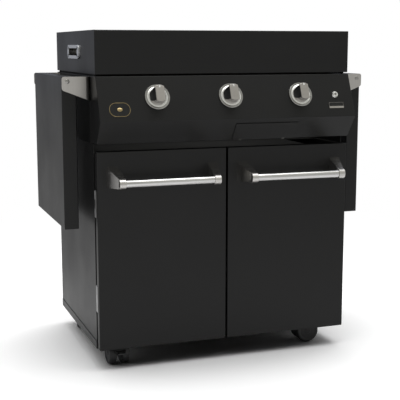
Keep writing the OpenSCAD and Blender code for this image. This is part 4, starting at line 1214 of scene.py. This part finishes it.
def hinge_half(name, of_door):
    """Half a hinge in its own place: Z along the pin, Y to the back, the cabinet at +X."""
    third, gap, bore = HINGE_H / 3, 0.3, PIN_R + 0.05
    pieces = []
    for k in (1,) if of_door else (0, 2):
        low, high = k * third + gap * of_door, (k + 1) * third - gap * of_door
        ring = [(bore, low), (3.6, low), (4, low + 0.4), (4, high - 0.4), (3.6, high), (bore, high)]
        arm = ((-4, -8.5, low), (-2.5, 0, high)) if of_door else ((0, 2.5, low), (6.5, 4, high))
        pieces += [turned("knuckle", ring, 48), leaf(*arm, 0.2)]
    if of_door:
        pieces.append(leaf((-4, -17, 0), (-2.5, -8, HINGE_H), 0.5))
        return joined(pieces, name)
    pieces.append(leaf((6, 2.5, 0), (26, 7, HINGE_H), 0.9))
    pin = [(0, -0.6), (1.4, -0.6), (PIN_R, 0), (PIN_R, HINGE_H), (1.4, HINGE_H + 0.6), (0, HINGE_H + 0.6)]
    pieces.append(turned("pin", pin, 32))
    places = [stand((16 * MM, 2.5 * MM, z * MM)) for z in (14, 66)]
    return joined(pieces + [copies(screw_head("head", 3.6, 1.6), places, "heads")], name)


print("hinges come from", hinge_half.__name__)

# %% Hinges in their places
low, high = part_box("left_door_hinges")
places = [Matrix.Translation((low.x + 4 * MM, front_y + 31 * MM, z)) for z in (low.z, high.z - HINGE_H * MM)]
halves = {}
for kind in ("door", "cabinet"):
    left = copies(hinge_half("half", kind == "door"), places, "halves")
    halves[kind] = [left, flipped(left, "X")]
for name, sides, body, node in (
    ("cabinet_hinge_halves", halves["cabinet"], "cart", "cabinet_hinges"),
    ("left_door_hinge_halves", halves["door"][:1], "door_left", "left_door_hinges"),
    ("right_door_hinge_halves", halves["door"][1:], "door_right", "right_door_hinges"),
):
    dress(joined(sides, name), hinge_steel, body, "bare_steel", (node,))
print("hinges", 2 * len(places))

# %% [markdown]
# ## Screws and bumpers
#
# The back panel is held by eight pan-head screws with cross recesses. The lid rests on four soft
# rubber bumpers, each a little barrel with a domed top, which keep its even gap. A soft strip
# along each side, between the bumpers, closes that gap without touching the cart.

# %% Screws
low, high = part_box("back_panel_screws")
head_r, rows = 4 * MM, 4
drop = (high.z - low.z - 2 * head_r) / (rows - 1)
places = [
    stand((x, high.y - 2 * MM, high.z - head_r - k * drop), -90)
    for x in (head_r - high.x, high.x - head_r) for k in range(rows)
]
shank = turned("shank", [(0, -8), (1.2, -8), (1.9, -7), (1.9, 0), (0, 0)], 24)
screws = copies(joined([screw_head("screw", 4, 2), shank], "screw"), places, "pan_head_screws")
dress(screws, machined_steel, "cart", "bare_steel", ("back_panel_screws",))
print("screws", len(places))

# %% Bumpers
low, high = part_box("lid_bumpers")
bumper_r = 4.5 * MM
ends = (low.y + bumper_r, high.y - bumper_r)
places = [Matrix.Translation((x, y, low.z)) for x in (low.x + bumper_r, high.x - bumper_r) for y in ends]
bumper = turned("bumper", [(0, 0), (3.9, 0), (4.4, 0.6), (4.5, 2.4), (4.2, 4), (3, 4.8), (0, 5)], 48)
bumpers = copies(bumper, places, "bumpers")
x, front_end, rear_end = low.x + bumper_r, ends[0] + bumper_r, ends[1] - bumper_r
strip = block("strip", (x - MM, front_end, low.z + 0.5 * MM), (x + MM, rear_end, high.z))
rounded(strip, 0.6, 3)
rubbers = joined([bumpers, strip, flipped(strip, "X")], "rubber_bumpers")
dress(rubbers, rubber, "lid", "rubber", ("lid_bumpers",), 40)
print("bumpers", len(places), "strips", 2)

# %% [markdown]
# ## The other sheet parts
#
# Rails, back, base, firebox, drawer tray and the rest are made of sheet or strip too, so they get
# round folds and broken edges as the doors do. The smaller or thinner a part is, the smaller its
# radius, from 1.4 mm on the base down to 0.5 mm on the rails of the drawer.

# %% Round the folds of the rest
for node, name, fold in (
    ("top_rails", "top_side_rails", 1.2), ("back_panel", "back_sheet", 1.2),
    ("base_panel", "base_tray", 1.4), ("console_end_caps", "console_cheeks", 0.9),
    ("firebox", "firebox_box", 1.4), ("cross_rail", "front_cross_rail", 0.5),
    ("grease_tray", "grease_pan", 1.0), ("drawer_runners", "drawer_rails", 0.5),
    ("door_catches", "magnet_catches", 1.0), ("left_door_liner", "left_inner_sheet", 0.5),
    ("right_door_liner", "right_inner_sheet", 0.5), ("griddle_plate", "cooking_plate", 1.2),
    ("tank_ring", "cylinder_ring", 0.5), ("igniter_module", "spark_case", 1.0),
    ("caster_plates", "swivel_plates", 0.8),
):
    folded(node, name, fold, on_box(node), cut=0.3)
